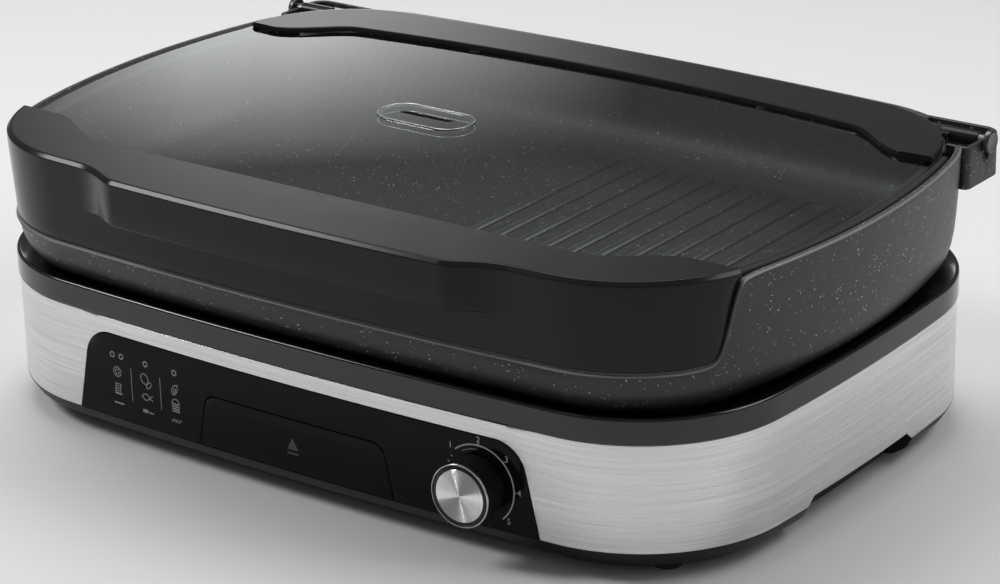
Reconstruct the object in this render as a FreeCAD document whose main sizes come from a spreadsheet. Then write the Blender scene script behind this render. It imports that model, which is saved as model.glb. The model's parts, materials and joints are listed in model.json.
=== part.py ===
"""Countertop electric grill: a steel-banded base, a lift-off grill pan and a hinged glass lid.

Millimetres. +Z is up, the front faces -Y, and the feet stand on z = 0.
"""
import FreeCAD, Part
import Sketcher
import math
import os
from types import SimpleNamespace

Vector = FreeCAD.Vector
UP = Vector(0, 0, 1)
doc = FreeCAD.newDocument("electric_grill")
dim = doc.addObject("Spreadsheet::Sheet", "dim")

SIZES = {
    # plan of the base
    "base_width": 520, "base_depth": 349, "base_front_bow": 2900, "base_side_bow": 1300,
    "base_corner_radius": 90,
    # plan of the grill pan, which stands out past the base and which the lid follows
    "pan_side_overhang": 5, "pan_end_overhang": 3.5, "pan_front_bow": 2600, "pan_side_bow": 460,
    "pan_corner_radius": 88,
    # heights of the base
    "foot_height": 4, "lip_height": 13, "band_height": 61, "ring_height": 15.4, "dish_depth": 5.9,
    # lower shell
    "tub_foot_inset": 14, "tub_knee_inset": 4, "tub_knee_height": 6, "tub_floor": 3, "tub_wall": 2.6,
    "tub_opening_inset": 46, "foot_radius": 8, "foot_inset": 24,
    # hand grips in both sides
    "grip_front_length": 58, "grip_rear_length": 52, "grip_height": 20, "grip_depth": 17, "grip_wall": 3,
    "grip_notch": 5, "grip_slope": 6,
    # steel band
    "band_sheet": 0.8, "fit_gap": 0.2,
    # top ring
    "ring_overhang": 1, "ring_undercut": 1, "ring_taper": 2.5, "ring_chamfer": 1.4, "ring_wall": 4,
    "ring_edge": 1.2, "ring_slope_inset": 16, "ring_inner_inset": 36, "ring_skin": 3.5,
    # control panel and the drawer front in it
    "panel_half_low": 163, "panel_half_high": 151.5, "panel_height": 52, "panel_round": 20,
    "panel_thick": 3, "panel_flange": 5, "panel_gap": 0.3,
    "drawer_half_low": 69, "drawer_half_high": 63, "drawer_height": 32, "drawer_round": 9,
    "drawer_gap": 0.5,
    "drawer_thick": 5.5,
    # drip tray and its rails
    "tray_half": 58, "tray_length": 185, "tray_height": 24, "tray_lift": 3, "tray_wall": 1.6, "tray_lip": 4,
    "rail_thick": 2.6, "rail_gap": 0.3, "rail_setback": 5,
    # bottom plate and its screws
    "plate_inset": 34, "plate_thick": 1.5, "plate_screw_inset": 40, "screw_radius": 1.9, "screw_head": 3.4,
    "screw_head_height": 1.2, "screw_gap": 0.05, "screw_length": 3,
    # reflector, its posts and the heating element
    "reflector_inset": 42, "reflector_sheet": 0.8, "reflector_height": 8.8, "reflector_drop": 4.3,
    "post_radius": 5, "post_side_inset": 75, "post_inset": 69.5,
    "element_radius": 4, "element_rise": 17.3, "element_bend": 22, "element_side_inset": 70,
    "element_bay": 70,
    "element_front_inset": 84.5, "element_turn_inset": 104.5, "element_back_inset": 56.5,
    "element_leg_x": 25,
    "element_leg": 34, "element_leg_bend": 12, "element_hole": 7,
    "pin_radius": 2, "pin_length": 12, "clip_width": 12, "clip_length": 8, "clip_wrap": 1.8,
    "clip_gap": 0.1,
    # thermostat and knob, square to the bowed front
    "knob_x": 125, "knob_rise": 23.4, "knob_radius": 18.4, "knob_reach": 19.2, "knob_skirt": 17.3,
    "knob_front": 16.6, "knob_wall": 2, "knob_gap": 1, "knob_hollow": 9, "knob_hub": 7, "knob_hub_start": 3,
    "knob_body_reach": 17, "ring_band": 4.7, "ring_lip": 0.7, "ring_bevel": 0.8, "face_thick": 1.5,
    "knob_fit": 0.05, "shaft_radius": 3, "shaft_reach": 13, "shaft_depth": 20, "shaft_fit": 0.05,
    "thermostat_radius": 16, "thermostat_length": 24, "thermostat_seat": 0.15, "bush_radius": 4.5,
    "bush_reach": 1.5, "thermostat_screw_x": 10.5, "thermostat_screw": 1.4, "thermostat_screw_head": 2.4,
    # wiring
    "gland_radius": 8, "gland_flange": 10.5, "gland_flange_thick": 2.5, "gland_length": 14, "gland_bore": 4,
    "gland_rise": 23, "block_width": 38, "block_depth": 16, "block_height": 16, "block_inset": 66.5,
    "lead_radius": 1.5, "lead_bend": 7, "lead_low": 30, "lead_high": 45, "lead_near_x": 90,
    "lead_far_x": 100, "lead_drop": 22, "lead_offset": 8,
    "fuse_radius": 3, "fuse_length": 22, "fuse_inset": 114.5,
    # grill pan
    "seat_gap": 0.3, "pan_hollow": 18.2, "pan_floor": 5, "front_curb": 6.5, "pan_inner_depth": 53.7,
    "foot_out_inset": 22, "foot_in_inset": 28, "heel_inset": 15, "heel_rise": 4.2, "shin_inset": 10.5,
    "shin_rise": 7.2, "calf_inset": 7, "calf_rise": 12.2, "knee_inset": 4.5, "knee_rise": 19.2,
    "wall_inset": 2.5, "wall_rise": 32.2, "rim_round": 0.8, "rim_drop": 2.2, "hollow_inset": 15,
    "hollow_rise": 10.2, "hollow_top_inset": 12, "floor_inset": 22, "cove_inset": 14, "cove_rise": 2.5,
    "cove_top_inset": 9.5, "cove_top_rise": 8, "inner_inset": 7, "inner_rise": 19, "rim_wall": 4.5,
    "ledge_drop": 6, "ledge_reach": 4, "ledge_height": 3, "ledge_end_inset": 70,
    "cut_top_inset": 67, "cut_low_inset": 44, "cut_round": 15,
    "rib_count": 12, "rib_pitch": 16.8, "rib_first": 8, "rib_width": 4, "rib_height": 2.5,
    "rib_end_inset": 46, "drain_inset": 58, "drain_radius": 6, "spout_wall": 3, "spout_length": 44,
    "spout_clear": 3,
    # hinge ears of the pan
    "ear_inset": 15, "ear_front_inset": 54, "ear_rear_inset": 13, "ear_round": 10, "ear_low": 25,
    "ear_inner_inset": 75, "ear_wall": 3, "pocket_front_inset": 51, "pocket_inner_inset": 60,
    "pocket_depth": 13.5, "slot_width": 7.8,
    # hinge of the lid
    "hinge_inset": 33.3, "hinge_drop": 1.4, "barrel_radius": 6, "barrel_start_inset": 43,
    "barrel_end_inset": 19, "barrel_bore_gap": 0.02, "hinge_pin_radius": 2.5, "hinge_pin_depth": 18,
    "neck_radius": 3.4,
    "pin_head_radius": 6.5, "pin_head_inset": 14.2, "pin_head_thick": 3.6, "lug_inner_inset": 60,
    "lug_outer_inset": 33, "lug_front_inset": 42, "lug_rear_inset": 26,
    # glass, gasket and vent
    "gasket_outer_inset": 5.2, "gasket_inner_inset": 14, "gasket_height": 5.2, "gasket_lip": 2,
    "gasket_lip_reach": 4, "glass_thick": 4, "glass_gap": 0.1,
    "vent_x": -40.5, "vent_y": 5.5, "vent_half": 32, "vent_radius": 15.5, "vent_flange": 3.5,
    "vent_wall": 1.5,
    "vent_rise": 1.6,
    # front trim with its skirt and handle
    "trim_gap": 0.2, "front_trim_thick": 3.2, "trim_bevel_in": 1.5, "trim_bevel_down": 1.9,
    "skirt_gap": 0.8,
    "skirt_wall": 3.2, "skirt_low_inset": 2.9, "trim_edge_inset": 40.5, "trim_lobe_inset": 65.5,
    "trim_lobe_side_inset": 51, "trim_straight_inset": 95, "trim_round": 40,
    "handle_half": 124, "handle_root_half": 141, "handle_reach": 10.5, "handle_height": 22.4,
    "handle_root_inset": 8, "handle_wall": 3.5,
    # rear trim
    "rear_trim_thick": 5.8, "rear_trim_inset": 10.5, "rear_lobe_inset": 87, "rear_lobe_side_inset": 44,
    "rear_end_side_inset": 84, "rear_end_inset": 60.5, "rear_mid_inset": 48.5, "rear_round": 24,
    "rear_chamfer": 1,
    # screws that hold the trims to the glass
    "trim_screw_x": 105, "trim_screw_front_inset": 28, "trim_screw_rear_inset": 38, "trim_screw_radius": 2,
    "trim_screw_head": 4, "trim_screw_head_height": 2, "trim_screw_gap": 0.05,
    # cutters run past what they cut by this much
    "overrun": 40,
}
for row, (alias, number) in enumerate(SIZES.items(), start=1):
    dim.set(f"A{row}", alias)
    dim.set(f"B{row}", str(number))
    dim.setAlias(f"B{row}", alias)
doc.recompute()
s = SimpleNamespace(**{alias: float(dim.get(alias)) for alias in SIZES})

# Heights that follow from the sheet, from the table up.
z_tub = s.foot_height
z_band = z_tub + s.lip_height
z_ring = z_band + s.band_height
z_edge = z_ring + s.ring_height
z_seat = z_edge - s.dish_depth
z_foot = z_seat + s.seat_gap
z_under = z_foot + s.pan_hollow
z_floor = z_under + s.pan_floor
z_front = z_floor + s.front_curb
z_rim = z_floor + s.pan_inner_depth
z_ledge = z_rim - s.ledge_drop
z_gasket = z_ledge + s.seat_gap
z_glass = z_gasket + s.gasket_lip
z_pane = z_glass + s.glass_thick
z_trim = z_pane + s.trim_gap
z_top = z_trim + s.front_trim_thick
z_hinge = z_rim - s.hinge_drop
z_reflector = z_seat - s.reflector_drop
z_element = z_reflector + s.element_rise

# Places that follow from the plans of the base and the pan.
base_x, base_y = s.base_width / 2, s.base_depth / 2
pan_x, pan_y = base_x + s.pan_side_overhang, base_y + s.pan_end_overhang
FAR = 2 * pan_x
ear_x = pan_x - s.ear_inset
ear_front = pan_y - s.ear_front_inset
ear_rear = pan_y - s.ear_rear_inset
ear_inner = pan_x - s.ear_inner_inset
pocket_front = pan_y - s.pocket_front_inset
pocket_inner = pan_x - s.pocket_inner_inset
hinge_y = pan_y - s.hinge_inset
barrel_start = pan_x - s.barrel_start_inset
barrel_end = pan_x - s.barrel_end_inset
pin_head_start = pan_x - s.pin_head_inset
lug_inner = pan_x - s.lug_inner_inset
lug_outer = pan_x - s.lug_outer_inset
lug_front = pan_y - s.lug_front_inset
lug_rear = pan_y - s.lug_rear_inset
ledge_end = pan_y - s.ledge_end_inset
cut_top_y = pan_y - s.cut_top_inset
cut_low_y = pan_y - s.cut_low_inset
trim_edge_y = pan_y - s.trim_edge_inset
trim_lobe_y = pan_y - s.trim_lobe_inset
trim_lobe_x = pan_x - s.trim_lobe_side_inset
trim_straight_x = pan_x - s.trim_straight_inset
handle_root_y = pan_y - s.handle_root_inset
rear_lobe_y = pan_y - s.rear_lobe_inset
rear_lobe_x = pan_x - s.rear_lobe_side_inset
rear_end_x = pan_x - s.rear_end_side_inset
rear_end_y = pan_y - s.rear_end_inset
rear_mid_y = pan_y - s.rear_mid_inset
trim_screw_front_y = pan_y - s.trim_screw_front_inset
trim_screw_rear_y = pan_y - s.trim_screw_rear_inset
rib_half = pan_y - s.rib_end_inset
drain_y = pan_y - s.drain_inset
element_outer = base_x - s.element_side_inset
element_front = base_y - s.element_front_inset
element_back = base_y - s.element_back_inset
element_turn = base_y - s.element_turn_inset
element_mid = element_outer - s.element_bay
element_inner = element_mid - s.element_bay
fuse_y = base_y - s.fuse_inset
block_y = base_y - s.block_inset
y_front = -base_y


def put(label, shape):
    """Keep a shape made in code as a sub-part of the document."""
    piece = doc.addObject("Part::Feature", label)
    piece.Label = label
    piece.Shape = shape
    piece.Placement = FreeCAD.Placement()
    return piece


def circle_solid(base, direction, radius, length):
    """A round bar from base along direction."""
    return Part.makeCylinder(radius, length, base, direction)


def block(x_low, x_high, y_low, y_high, z_low, z_high):
    """A box between six planes."""
    return Part.makeBox(x_high - x_low, y_high - y_low, z_high - z_low, Vector(x_low, y_low, z_low))


def rounded_edges(points, radii, closed):
    """Straight runs between the points, with a tangent arc of the given radius at each corner."""
    count = len(points)
    ends = []
    for i in range(count):
        here = points[i]
        if radii[i] == 0 or (not closed and i in (0, count - 1)):
            ends.append((here, None, here))
            continue
        back = (points[i - 1] - here).normalize()
        ahead = (points[(i + 1) % count] - here).normalize()
        half = back.getAngle(ahead) / 2
        reach = radii[i] / math.tan(half)
        middle = here + (back + ahead).normalize() * (radii[i] / math.sin(half) - radii[i])
        ends.append((here + back * reach, middle, here + ahead * reach))
    edges = []
    for i in range(count):
        start, middle, end = ends[i]
        if middle is not None:
            edges.append(Part.Arc(start, middle, end).toShape())
        if closed or i < count - 1:
            edges.append(Part.LineSegment(end, ends[(i + 1) % count][0]).toShape())
    return edges


def prism(points, radii, along):
    """A solid with a rounded outline, drawn out along a vector."""
    wire = Part.Wire(rounded_edges(points, radii, True))
    return Part.Face(wire).extrude(along)


def tube(points, bend, radius):
    """A round bar along straight runs joined by tangent bends."""
    radii = [bend] * len(points)
    path = Part.Wire(rounded_edges(points, radii, False))
    section = Part.Wire(Part.makeCircle(radius, points[0], points[1] - points[0]))
    return path.makePipeShell([section], True, False)


def mirrored_x(shape):
    """The same shape on the other side of the middle."""
    return shape.mirror(Vector(), Vector(1, 0, 0))


class Plan:
    """A rectangle with four outward bows and four round corners, offset parallel to itself."""

    def __init__(self, width, depth, front_bow, side_bow, corner):
        self.width, self.depth, self.corner, self.front_bow = width, depth, corner, front_bow
        front = Vector(0, front_bow - depth / 2, 0)
        side = Vector(width / 2 - side_bow, 0, 0)
        gap = front - side
        reach, span = side_bow - corner, gap.Length
        along = (reach ** 2 - (front_bow - corner) ** 2 + span ** 2) / (2 * span)
        away = math.sqrt(reach ** 2 - along ** 2)
        unit = gap / span
        square = Vector(unit.y, -unit.x, 0)
        self.centre = side + unit * along + square * away
        self.to_front = (self.centre - front).normalize()
        self.to_side = (self.centre - side).normalize()
        self.to_corner = (self.to_front + self.to_side).normalize()

    def corner_point(self, offset):
        """The middle of the front right corner at an offset from the plan."""
        return self.centre + self.to_corner * (self.corner + offset)

    def wire(self, offset, z):
        """The closed outline at one height."""
        lift = Vector(0, 0, z)
        a = self.centre + self.to_front * (self.corner + offset) + lift
        m = self.corner_point(offset) + lift
        b = self.centre + self.to_side * (self.corner + offset) + lift
        quarter = [a, m, b]
        front = Vector(0, -self.depth / 2 - offset, z)
        side = Vector(self.width / 2 + offset, 0, z)

        def flip(p, fx, fy):
            return Vector(p.x * fx, p.y * fy, p.z)

        runs = [(flip(a, -1, 1), front, a), tuple(quarter), (b, side, flip(b, 1, -1))]
        runs.append(tuple(flip(p, 1, -1) for p in reversed(quarter)))
        runs.append((flip(a, 1, -1), flip(front, 1, -1), flip(a, -1, -1)))
        runs.append(tuple(flip(p, -1, -1) for p in quarter))
        runs.append((flip(b, -1, -1), flip(side, -1, 1), flip(b, -1, 1)))
        runs.append(tuple(flip(p, -1, 1) for p in reversed(quarter)))
        return Part.Wire([Part.Arc(*run).toShape() for run in runs])

    def slab(self, offset, z_low, z_high):
        """A plate of the outline between two heights."""
        return Part.Face(self.wire(offset, z_low)).extrude(UP * (z_high - z_low))

    def stack(self, sections):
        """A solid whose wall runs straight through (offset, height) sections, from the bottom up."""
        return Part.makeLoft([self.wire(offset, z) for offset, z in sections], True, True)

    def front_y(self, x):
        """Where the front face stands at x."""
        return self.front_bow - self.depth / 2 - math.sqrt(self.front_bow ** 2 - x ** 2)


base_plan = Plan(s.base_width, s.base_depth, s.base_front_bow, s.base_side_bow, s.base_corner_radius)
pan_plan = Plan(2 * pan_x, 2 * pan_y, s.pan_front_bow, s.pan_side_bow, s.pan_corner_radius)

# The knob's frame: its origin lies on the panel's face and its Z points out of the front.
knob_turn = math.degrees(math.asin(s.knob_x / s.base_front_bow))
knob_frame = FreeCAD.Placement(
    Vector(s.knob_x, base_plan.front_y(s.knob_x), z_band + s.knob_rise),
    FreeCAD.Rotation(UP, knob_turn).multiply(FreeCAD.Rotation(Vector(1, 0, 0), 90)))


def front_window(half_low, half_high, height, round_off, grow):
    """A prism through the front: slanted sides, round upper corners, open at the band's lower edge."""
    low = z_band - s.overrun if grow > 0 else z_band - grow
    slant = (half_low - half_high) / height
    at_low = half_low + grow + slant * (z_band - low)
    at_high = half_high + grow - slant * grow
    high = z_band + height + grow
    points = [Vector(-at_low, y_front - s.overrun, low), Vector(at_low, y_front - s.overrun, low),
              Vector(at_high, y_front - s.overrun, high), Vector(-at_high, y_front - s.overrun, high)]
    radii = [0, 0, round_off + grow, round_off + grow]
    return prism(points, radii, Vector(0, s.overrun * 2, 0))


def panel_window(grow):
    return front_window(s.panel_half_low, s.panel_half_high, s.panel_height, s.panel_round, grow)


def drawer_window(grow):
    return front_window(s.drawer_half_low, s.drawer_half_high, s.drawer_height, s.drawer_round, grow)


def across(points_yz, radii):
    """A prism right across the object, drawn by its (y, z) outline."""
    points = [Vector(-FAR, y, z) for y, z in points_yz]
    return prism(points, radii, Vector(2 * FAR, 0, 0))


gland_hole = circle_solid(Vector(0, s.base_depth / 2 - s.overrun, z_band + s.gland_rise), Vector(0, 1, 0),
                          s.gland_radius + s.fit_gap, 2 * s.overrun)


def steel_band():
    """The brushed wrap: one thin wall with a window for the panel and a raised edge over each grip."""
    shell = base_plan.slab(0, z_band, z_ring).cut(base_plan.slab(-s.band_sheet, z_band, z_ring))
    low = z_band - s.overrun
    high = z_band + s.grip_notch
    front, rear = -s.grip_front_length, s.grip_rear_length
    outline = [(front, low), (front, z_band), (front + s.grip_slope, high), (rear - s.grip_slope, high),
               (rear, z_band), (rear, low)]
    notch = across(outline, [0] * len(outline))
    return shell.cut([panel_window(0), notch, gland_hole])


def top_ring():
    """The dark frame on the band: an overhanging edge, a dished top and an open middle."""
    outer = base_plan.stack([(-s.ring_undercut, z_ring), (s.ring_overhang, z_ring + s.ring_taper),
                             (s.ring_overhang, z_edge - s.ring_chamfer),
                             (s.ring_overhang - s.ring_edge, z_edge)])
    rise = (s.ring_slope_inset - s.ring_edge) / s.dish_depth
    dish = base_plan.stack([(-s.ring_slope_inset, z_seat), (-s.ring_edge, z_edge),
                            (s.overrun * rise - s.ring_edge, z_edge + s.overrun)])
    middle = base_plan.slab(-s.ring_inner_inset, z_ring - s.overrun, z_edge + s.overrun)
    z_skin = z_seat - s.ring_skin
    under = base_plan.slab(-s.ring_undercut - s.ring_wall, z_ring, z_skin).cut(
        base_plan.slab(s.ring_wall - s.ring_inner_inset, z_ring, z_skin))
    return outer.cut([dish, middle, under])


def grip_blocks(wall, z_high):
    """A block at each side, as deep as a hand grip and its wall."""
    x_out = s.base_width / 2
    right = block(x_out - s.grip_depth - wall, x_out + s.overrun, -s.grip_front_length - wall,
                  s.grip_rear_length + wall, z_tub - s.overrun, z_high + wall)
    return right.fuse(mirrored_x(right))


def base_tub():
    """The black lower shell: a lip under the band, a wall inside it and a pocket for each hand."""
    inner_face = -s.band_sheet - s.fit_gap
    z_knee = z_tub + s.tub_knee_height
    lip = base_plan.stack([(-s.tub_foot_inset, z_tub), (-s.tub_knee_inset, z_knee), (0, z_band)])
    hull = lip.fuse(base_plan.slab(inner_face, z_band, z_ring))
    room_face = inner_face - s.tub_wall
    room = base_plan.stack([(room_face - s.tub_foot_inset, z_tub + s.tub_floor),
                            (room_face - s.tub_knee_inset, z_knee + s.tub_floor),
                            (room_face, z_band + s.tub_floor)])
    room = room.fuse(base_plan.slab(room_face, z_band + s.tub_floor, z_ring))
    z_grip = z_tub + s.grip_height
    grips = grip_blocks(s.grip_wall, z_grip).common(hull)
    opening = base_plan.slab(-s.tub_opening_inset, z_tub - s.overrun, z_tub + s.overrun)
    front = panel_window(s.panel_flange + s.panel_gap).cut(
        block(-FAR, FAR, -FAR, FAR, z_band - 2 * s.overrun, z_band))
    shell = hull.cut([room, opening]).fuse(grips)
    return shell.cut([grip_blocks(0, z_grip), front, gland_hole, *plate_screw_holes()])


def plate_screw_places():
    """Screw places of the bottom plate: four corners and the middles of front and rear."""
    corner = base_plan.corner_point(-s.plate_screw_inset)
    side = base_plan.depth / 2 - s.plate_screw_inset
    places = [(0, -side), (0, side)]
    for fx in (-1, 1):
        for fy in (-1, 1):
            places.append((corner.x * fx, corner.y * fy))
    return places


def plate_screw_holes():
    radius = s.screw_radius + s.screw_gap
    low = z_tub - s.plate_thick
    return [circle_solid(Vector(x, y, low), UP, radius, s.plate_thick + s.tub_floor)
            for x, y in plate_screw_places()]


def bottom_plate():
    """The plate that closes the lower shell from below and carries the inner pieces."""
    plate = base_plan.slab(-s.plate_inset, z_tub - s.plate_thick, z_tub)
    return plate.cut(plate_screw_holes())


def plate_screws():
    """Six screws through the plate into the lower shell."""
    low = z_tub - s.plate_thick
    screws = []
    for x, y in plate_screw_places():
        head = circle_solid(Vector(x, y, low - s.screw_head_height), UP, s.screw_head, s.screw_head_height)
        shank = circle_solid(Vector(x, y, low), UP, s.screw_radius, s.plate_thick + s.screw_length)
        screws.append(head.fuse(shank).removeSplitter())
    return Part.makeCompound(screws)


def in_front(offset_out, offset_in, z_high):
    """The bowed front wall between two offsets, as high as the panel."""
    low = z_band
    return base_plan.slab(offset_out, low, z_high).cut(base_plan.slab(offset_in, low, z_high))


def control_panel():
    """The glossy window piece: flush with the band, with a flange behind the band's edge."""
    behind = -s.band_sheet - s.fit_gap
    z_high = z_band + s.panel_height + s.panel_flange
    face = in_front(0, -s.panel_thick, z_high).common(panel_window(-s.panel_gap))
    flange = in_front(behind, -s.panel_thick, z_high).common(panel_window(s.panel_flange))
    bush = circle_solid(Vector(0, 0, -s.overrun), UP, s.bush_radius + s.fit_gap, 2 * s.overrun)
    holes = [bush]
    for fx in (-1, 1):
        holes.append(circle_solid(Vector(fx * s.thermostat_screw_x, 0, -s.panel_thick - s.bush_reach), UP,
                                  s.thermostat_screw + s.screw_gap, 2 * s.panel_thick))
    for hole in holes:
        hole.Placement = knob_frame.multiply(hole.Placement)
    return face.fuse(flange).removeSplitter().cut([drawer_window(0), *holes])


def drip_tray_front():
    """The drawer front: flush with the panel, flat at the back."""
    y_back = y_front + s.drawer_thick
    face = base_plan.slab(0, z_band, z_band + s.drawer_height).common(drawer_window(-s.drawer_gap))
    return face.cut(block(-FAR, FAR, y_back, FAR, 0, z_ring))


def reflector():
    """The bright sheet under the element: a shallow dish with holes for the spout and the element's legs."""
    z_high = z_reflector + s.reflector_height
    dish = base_plan.slab(-s.reflector_inset, z_reflector - s.reflector_sheet, z_high).cut(
        base_plan.slab(-s.reflector_inset - s.reflector_sheet, z_reflector, z_high))
    low = z_reflector - s.overrun
    holes = [circle_solid(Vector(0, -drain_y, low), UP, s.drain_radius + s.spout_wall + s.spout_clear,
                          2 * s.overrun)]
    for fx in (-1, 1):
        holes.append(circle_solid(Vector(fx * s.element_leg_x, element_back, low), UP, s.element_hole,
                                  2 * s.overrun))
    return dish.cut(holes)


def heating_element():
    """One bent tube: up from a leg, round the outside, through three bays and down the other leg."""
    x = [element_outer, element_mid, element_inner]
    half = [(s.element_leg_x, element_back), (x[0], element_back), (x[0], -element_front),
            (x[1], -element_front), (x[1], element_turn), (x[2], element_turn), (x[2], -element_front)]
    z_leg = z_element - s.element_leg
    right = [Vector(s.element_leg_x, element_back, z_leg)] + [Vector(px, py, z_element) for px, py in half]
    points = right + [Vector(-p.x, p.y, p.z) for p in reversed(right)]
    bends = [s.element_bend] * len(points)
    bends[1] = bends[-2] = s.element_leg_bend
    path = Part.Wire(rounded_edges(points, bends, False))
    section = Part.Wire(Part.makeCircle(s.element_radius, points[0], UP))
    return path.makePipeShell([section], True, False)


def element_terminals():
    """The two connecting pins at the ends of the element's legs."""
    z_leg = z_element - s.element_leg
    pins = [circle_solid(Vector(fx * s.element_leg_x, element_back, z_leg - s.pin_length), UP, s.pin_radius,
                         s.pin_length) for fx in (-1, 1)]
    return Part.makeCompound(pins)


def element_clips():
    """Saddles that hold the element's straight runs above the reflector."""
    clips = []
    for x in (element_outer, element_mid, element_inner):
        for fx in (-1, 1):
            body = block(fx * x - s.clip_width / 2, fx * x + s.clip_width / 2, -s.clip_length / 2,
                         s.clip_length / 2, z_reflector, z_element - s.element_radius + s.clip_wrap)
            groove = circle_solid(Vector(fx * x, -s.overrun, z_element), Vector(0, 1, 0),
                                  s.element_radius + s.clip_gap, 2 * s.overrun)
            clips.append(body.cut(groove))
    return Part.makeCompound(clips)


def thermostat():
    """The regulator: a round case behind the panel with a bush through it for the shaft."""
    seat = -s.panel_thick - s.thermostat_seat
    z_back = seat - s.thermostat_length
    case = circle_solid(Vector(0, 0, z_back), UP, s.thermostat_radius, s.thermostat_length)
    bush = circle_solid(Vector(0, 0, seat), UP, s.bush_radius, s.bush_reach - seat)
    bore = circle_solid(Vector(0, 0, -s.shaft_depth - s.shaft_fit), UP, s.shaft_radius + s.shaft_fit,
                        s.shaft_depth + s.overrun)
    holes = [circle_solid(Vector(fx * s.thermostat_screw_x, 0, seat - s.thermostat_length / 2), UP,
                          s.thermostat_screw + s.screw_gap, s.thermostat_length) for fx in (-1, 1)]
    return case.fuse(bush).removeSplitter().cut([bore, *holes])


def thermostat_screws():
    """Two screws from the panel's face into the thermostat."""
    depth = s.panel_thick + s.thermostat_seat + s.thermostat_length / 4
    screws = []
    for fx in (-1, 1):
        shank = circle_solid(Vector(fx * s.thermostat_screw_x, 0, -depth), UP, s.thermostat_screw, depth)
        head = circle_solid(Vector(fx * s.thermostat_screw_x, 0, s.fit_gap), UP, s.thermostat_screw_head,
                            s.screw_head_height)
        neck = circle_solid(Vector(fx * s.thermostat_screw_x, 0, 0), UP, s.thermostat_screw, s.fit_gap)
        screws.append(shank.fuse([neck, head]).removeSplitter())
    return Part.makeCompound(screws)


def cord_gland():
    """The rear inlet bush for a mains lead."""
    y_wall = s.base_depth / 2
    place = Vector(0, y_wall - s.gland_length, z_band + s.gland_rise)
    along = Vector(0, 1, 0)
    body = circle_solid(place, along, s.gland_radius, s.gland_length + s.gland_flange_thick)
    flange = circle_solid(Vector(0, y_wall, place.z), along, s.gland_flange, s.gland_flange_thick)
    bore = circle_solid(place, along, s.gland_bore, s.gland_length + s.gland_flange_thick)
    return body.fuse(flange).removeSplitter().cut(bore)


def lead_neutral():
    """The lead from the left terminal down to the terminal block."""
    x, z_pin = s.element_leg_x, z_element - s.element_leg - s.pin_length
    y_block = block_y + s.block_depth / 2
    z_turn = z_pin - s.lead_drop
    z_block = z_tub + s.block_height
    return tube([Vector(-x, element_back, z_pin), Vector(-x, element_back, z_turn),
                 Vector(-s.lead_offset, y_block, z_turn), Vector(-s.lead_offset, y_block, z_block)],
                s.lead_bend, s.lead_radius)


def thermostat_back(shift):
    """A point on the thermostat's rear face, beside its axis."""
    depth = s.panel_thick + s.thermostat_seat + s.thermostat_length
    return knob_frame.multVec(Vector(shift, 0, -depth - s.fit_gap))


def lead_live():
    """The lead from the terminal block to the thermostat."""
    end = thermostat_back(s.lead_offset)
    y_block = block_y + s.block_depth / 2
    z = s.lead_low
    return tube([Vector(s.lead_offset, y_block, z_tub + s.block_height), Vector(s.lead_offset, y_block, z),
                 Vector(s.lead_near_x, y_block, z), Vector(s.lead_near_x, end.y + s.overrun, z),
                 Vector(end.x, end.y + s.overrun / 2, end.z), end], s.lead_bend, s.lead_radius)


def lead_switched():
    """The lead from the thermostat to the thermal fuse under the reflector."""
    start = thermostat_back(-s.lead_offset)
    z_fuse = z_reflector - s.reflector_sheet - s.fuse_radius
    lane = s.lead_far_x
    return tube([start, Vector(start.x, start.y + s.overrun / 2, start.z),
                 Vector(lane, start.y + s.overrun, s.lead_high), Vector(lane, fuse_y, s.lead_high),
                 Vector(lane, fuse_y, z_fuse), Vector(s.lead_near_x, fuse_y, z_fuse)],
                s.lead_bend, s.lead_radius)


def thermal_fuse():
    """The cut-out that lies against the reflector, between two leads."""
    z_fuse = z_reflector - s.reflector_sheet - s.fuse_radius
    return circle_solid(Vector(s.lead_near_x - s.fuse_length, fuse_y, z_fuse), Vector(1, 0, 0),
                        s.fuse_radius, s.fuse_length)


def lead_fused():
    """The lead from the thermal fuse to the right terminal."""
    z_fuse = z_reflector - s.reflector_sheet - s.fuse_radius
    x, z_pin = s.element_leg_x, z_element - s.element_leg - s.pin_length
    z_turn = z_pin - s.lead_drop
    return tube([Vector(s.lead_near_x - s.fuse_length, fuse_y, z_fuse), Vector(x, fuse_y, z_fuse),
                 Vector(x, fuse_y, z_turn), Vector(x, element_back, z_turn),
                 Vector(x, element_back, z_pin)], s.lead_bend, s.lead_radius)


def pan_ears():
    """The two lugs at the rear corners, before the pan is hollowed."""
    z_low = z_rim - s.ear_low
    points = [Vector(ear_inner, ear_front, z_low), Vector(ear_x, ear_front, z_low),
              Vector(ear_x, ear_rear, z_low), Vector(ear_inner, ear_rear, z_low)]
    right = prism(points, [0, 0, s.ear_round, 0], UP * s.ear_low)
    return right.fuse(mirrored_x(right))


def ear_cuts():
    """The pocket for the hinge barrel and the open slot for the pin's neck, on both sides."""
    z_low = z_rim - s.pocket_depth
    z_high = z_rim + s.overrun
    x_wall = ear_x - s.ear_wall
    inner_round = s.ear_round - s.ear_wall
    y_wall = ear_rear - s.ear_wall
    points = [Vector(pocket_inner, pocket_front, z_low), Vector(x_wall, pocket_front, z_low),
              Vector(x_wall, y_wall, z_low), Vector(pocket_inner, y_wall, z_low)]
    pocket = prism(points, [0, 0, inner_round, 0], UP * (z_high - z_low))
    half = s.slot_width / 2
    z_round = z_low + half
    slot = block(x_wall - s.ear_wall, ear_x + s.ear_wall, hinge_y - half, hinge_y + half, z_round, z_high)
    end = circle_solid(Vector(x_wall - s.ear_wall, hinge_y, z_round), Vector(1, 0, 0), half, 3 * s.ear_wall)
    right = pocket.fuse([slot, end])
    return [right, mirrored_x(right)]


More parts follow.
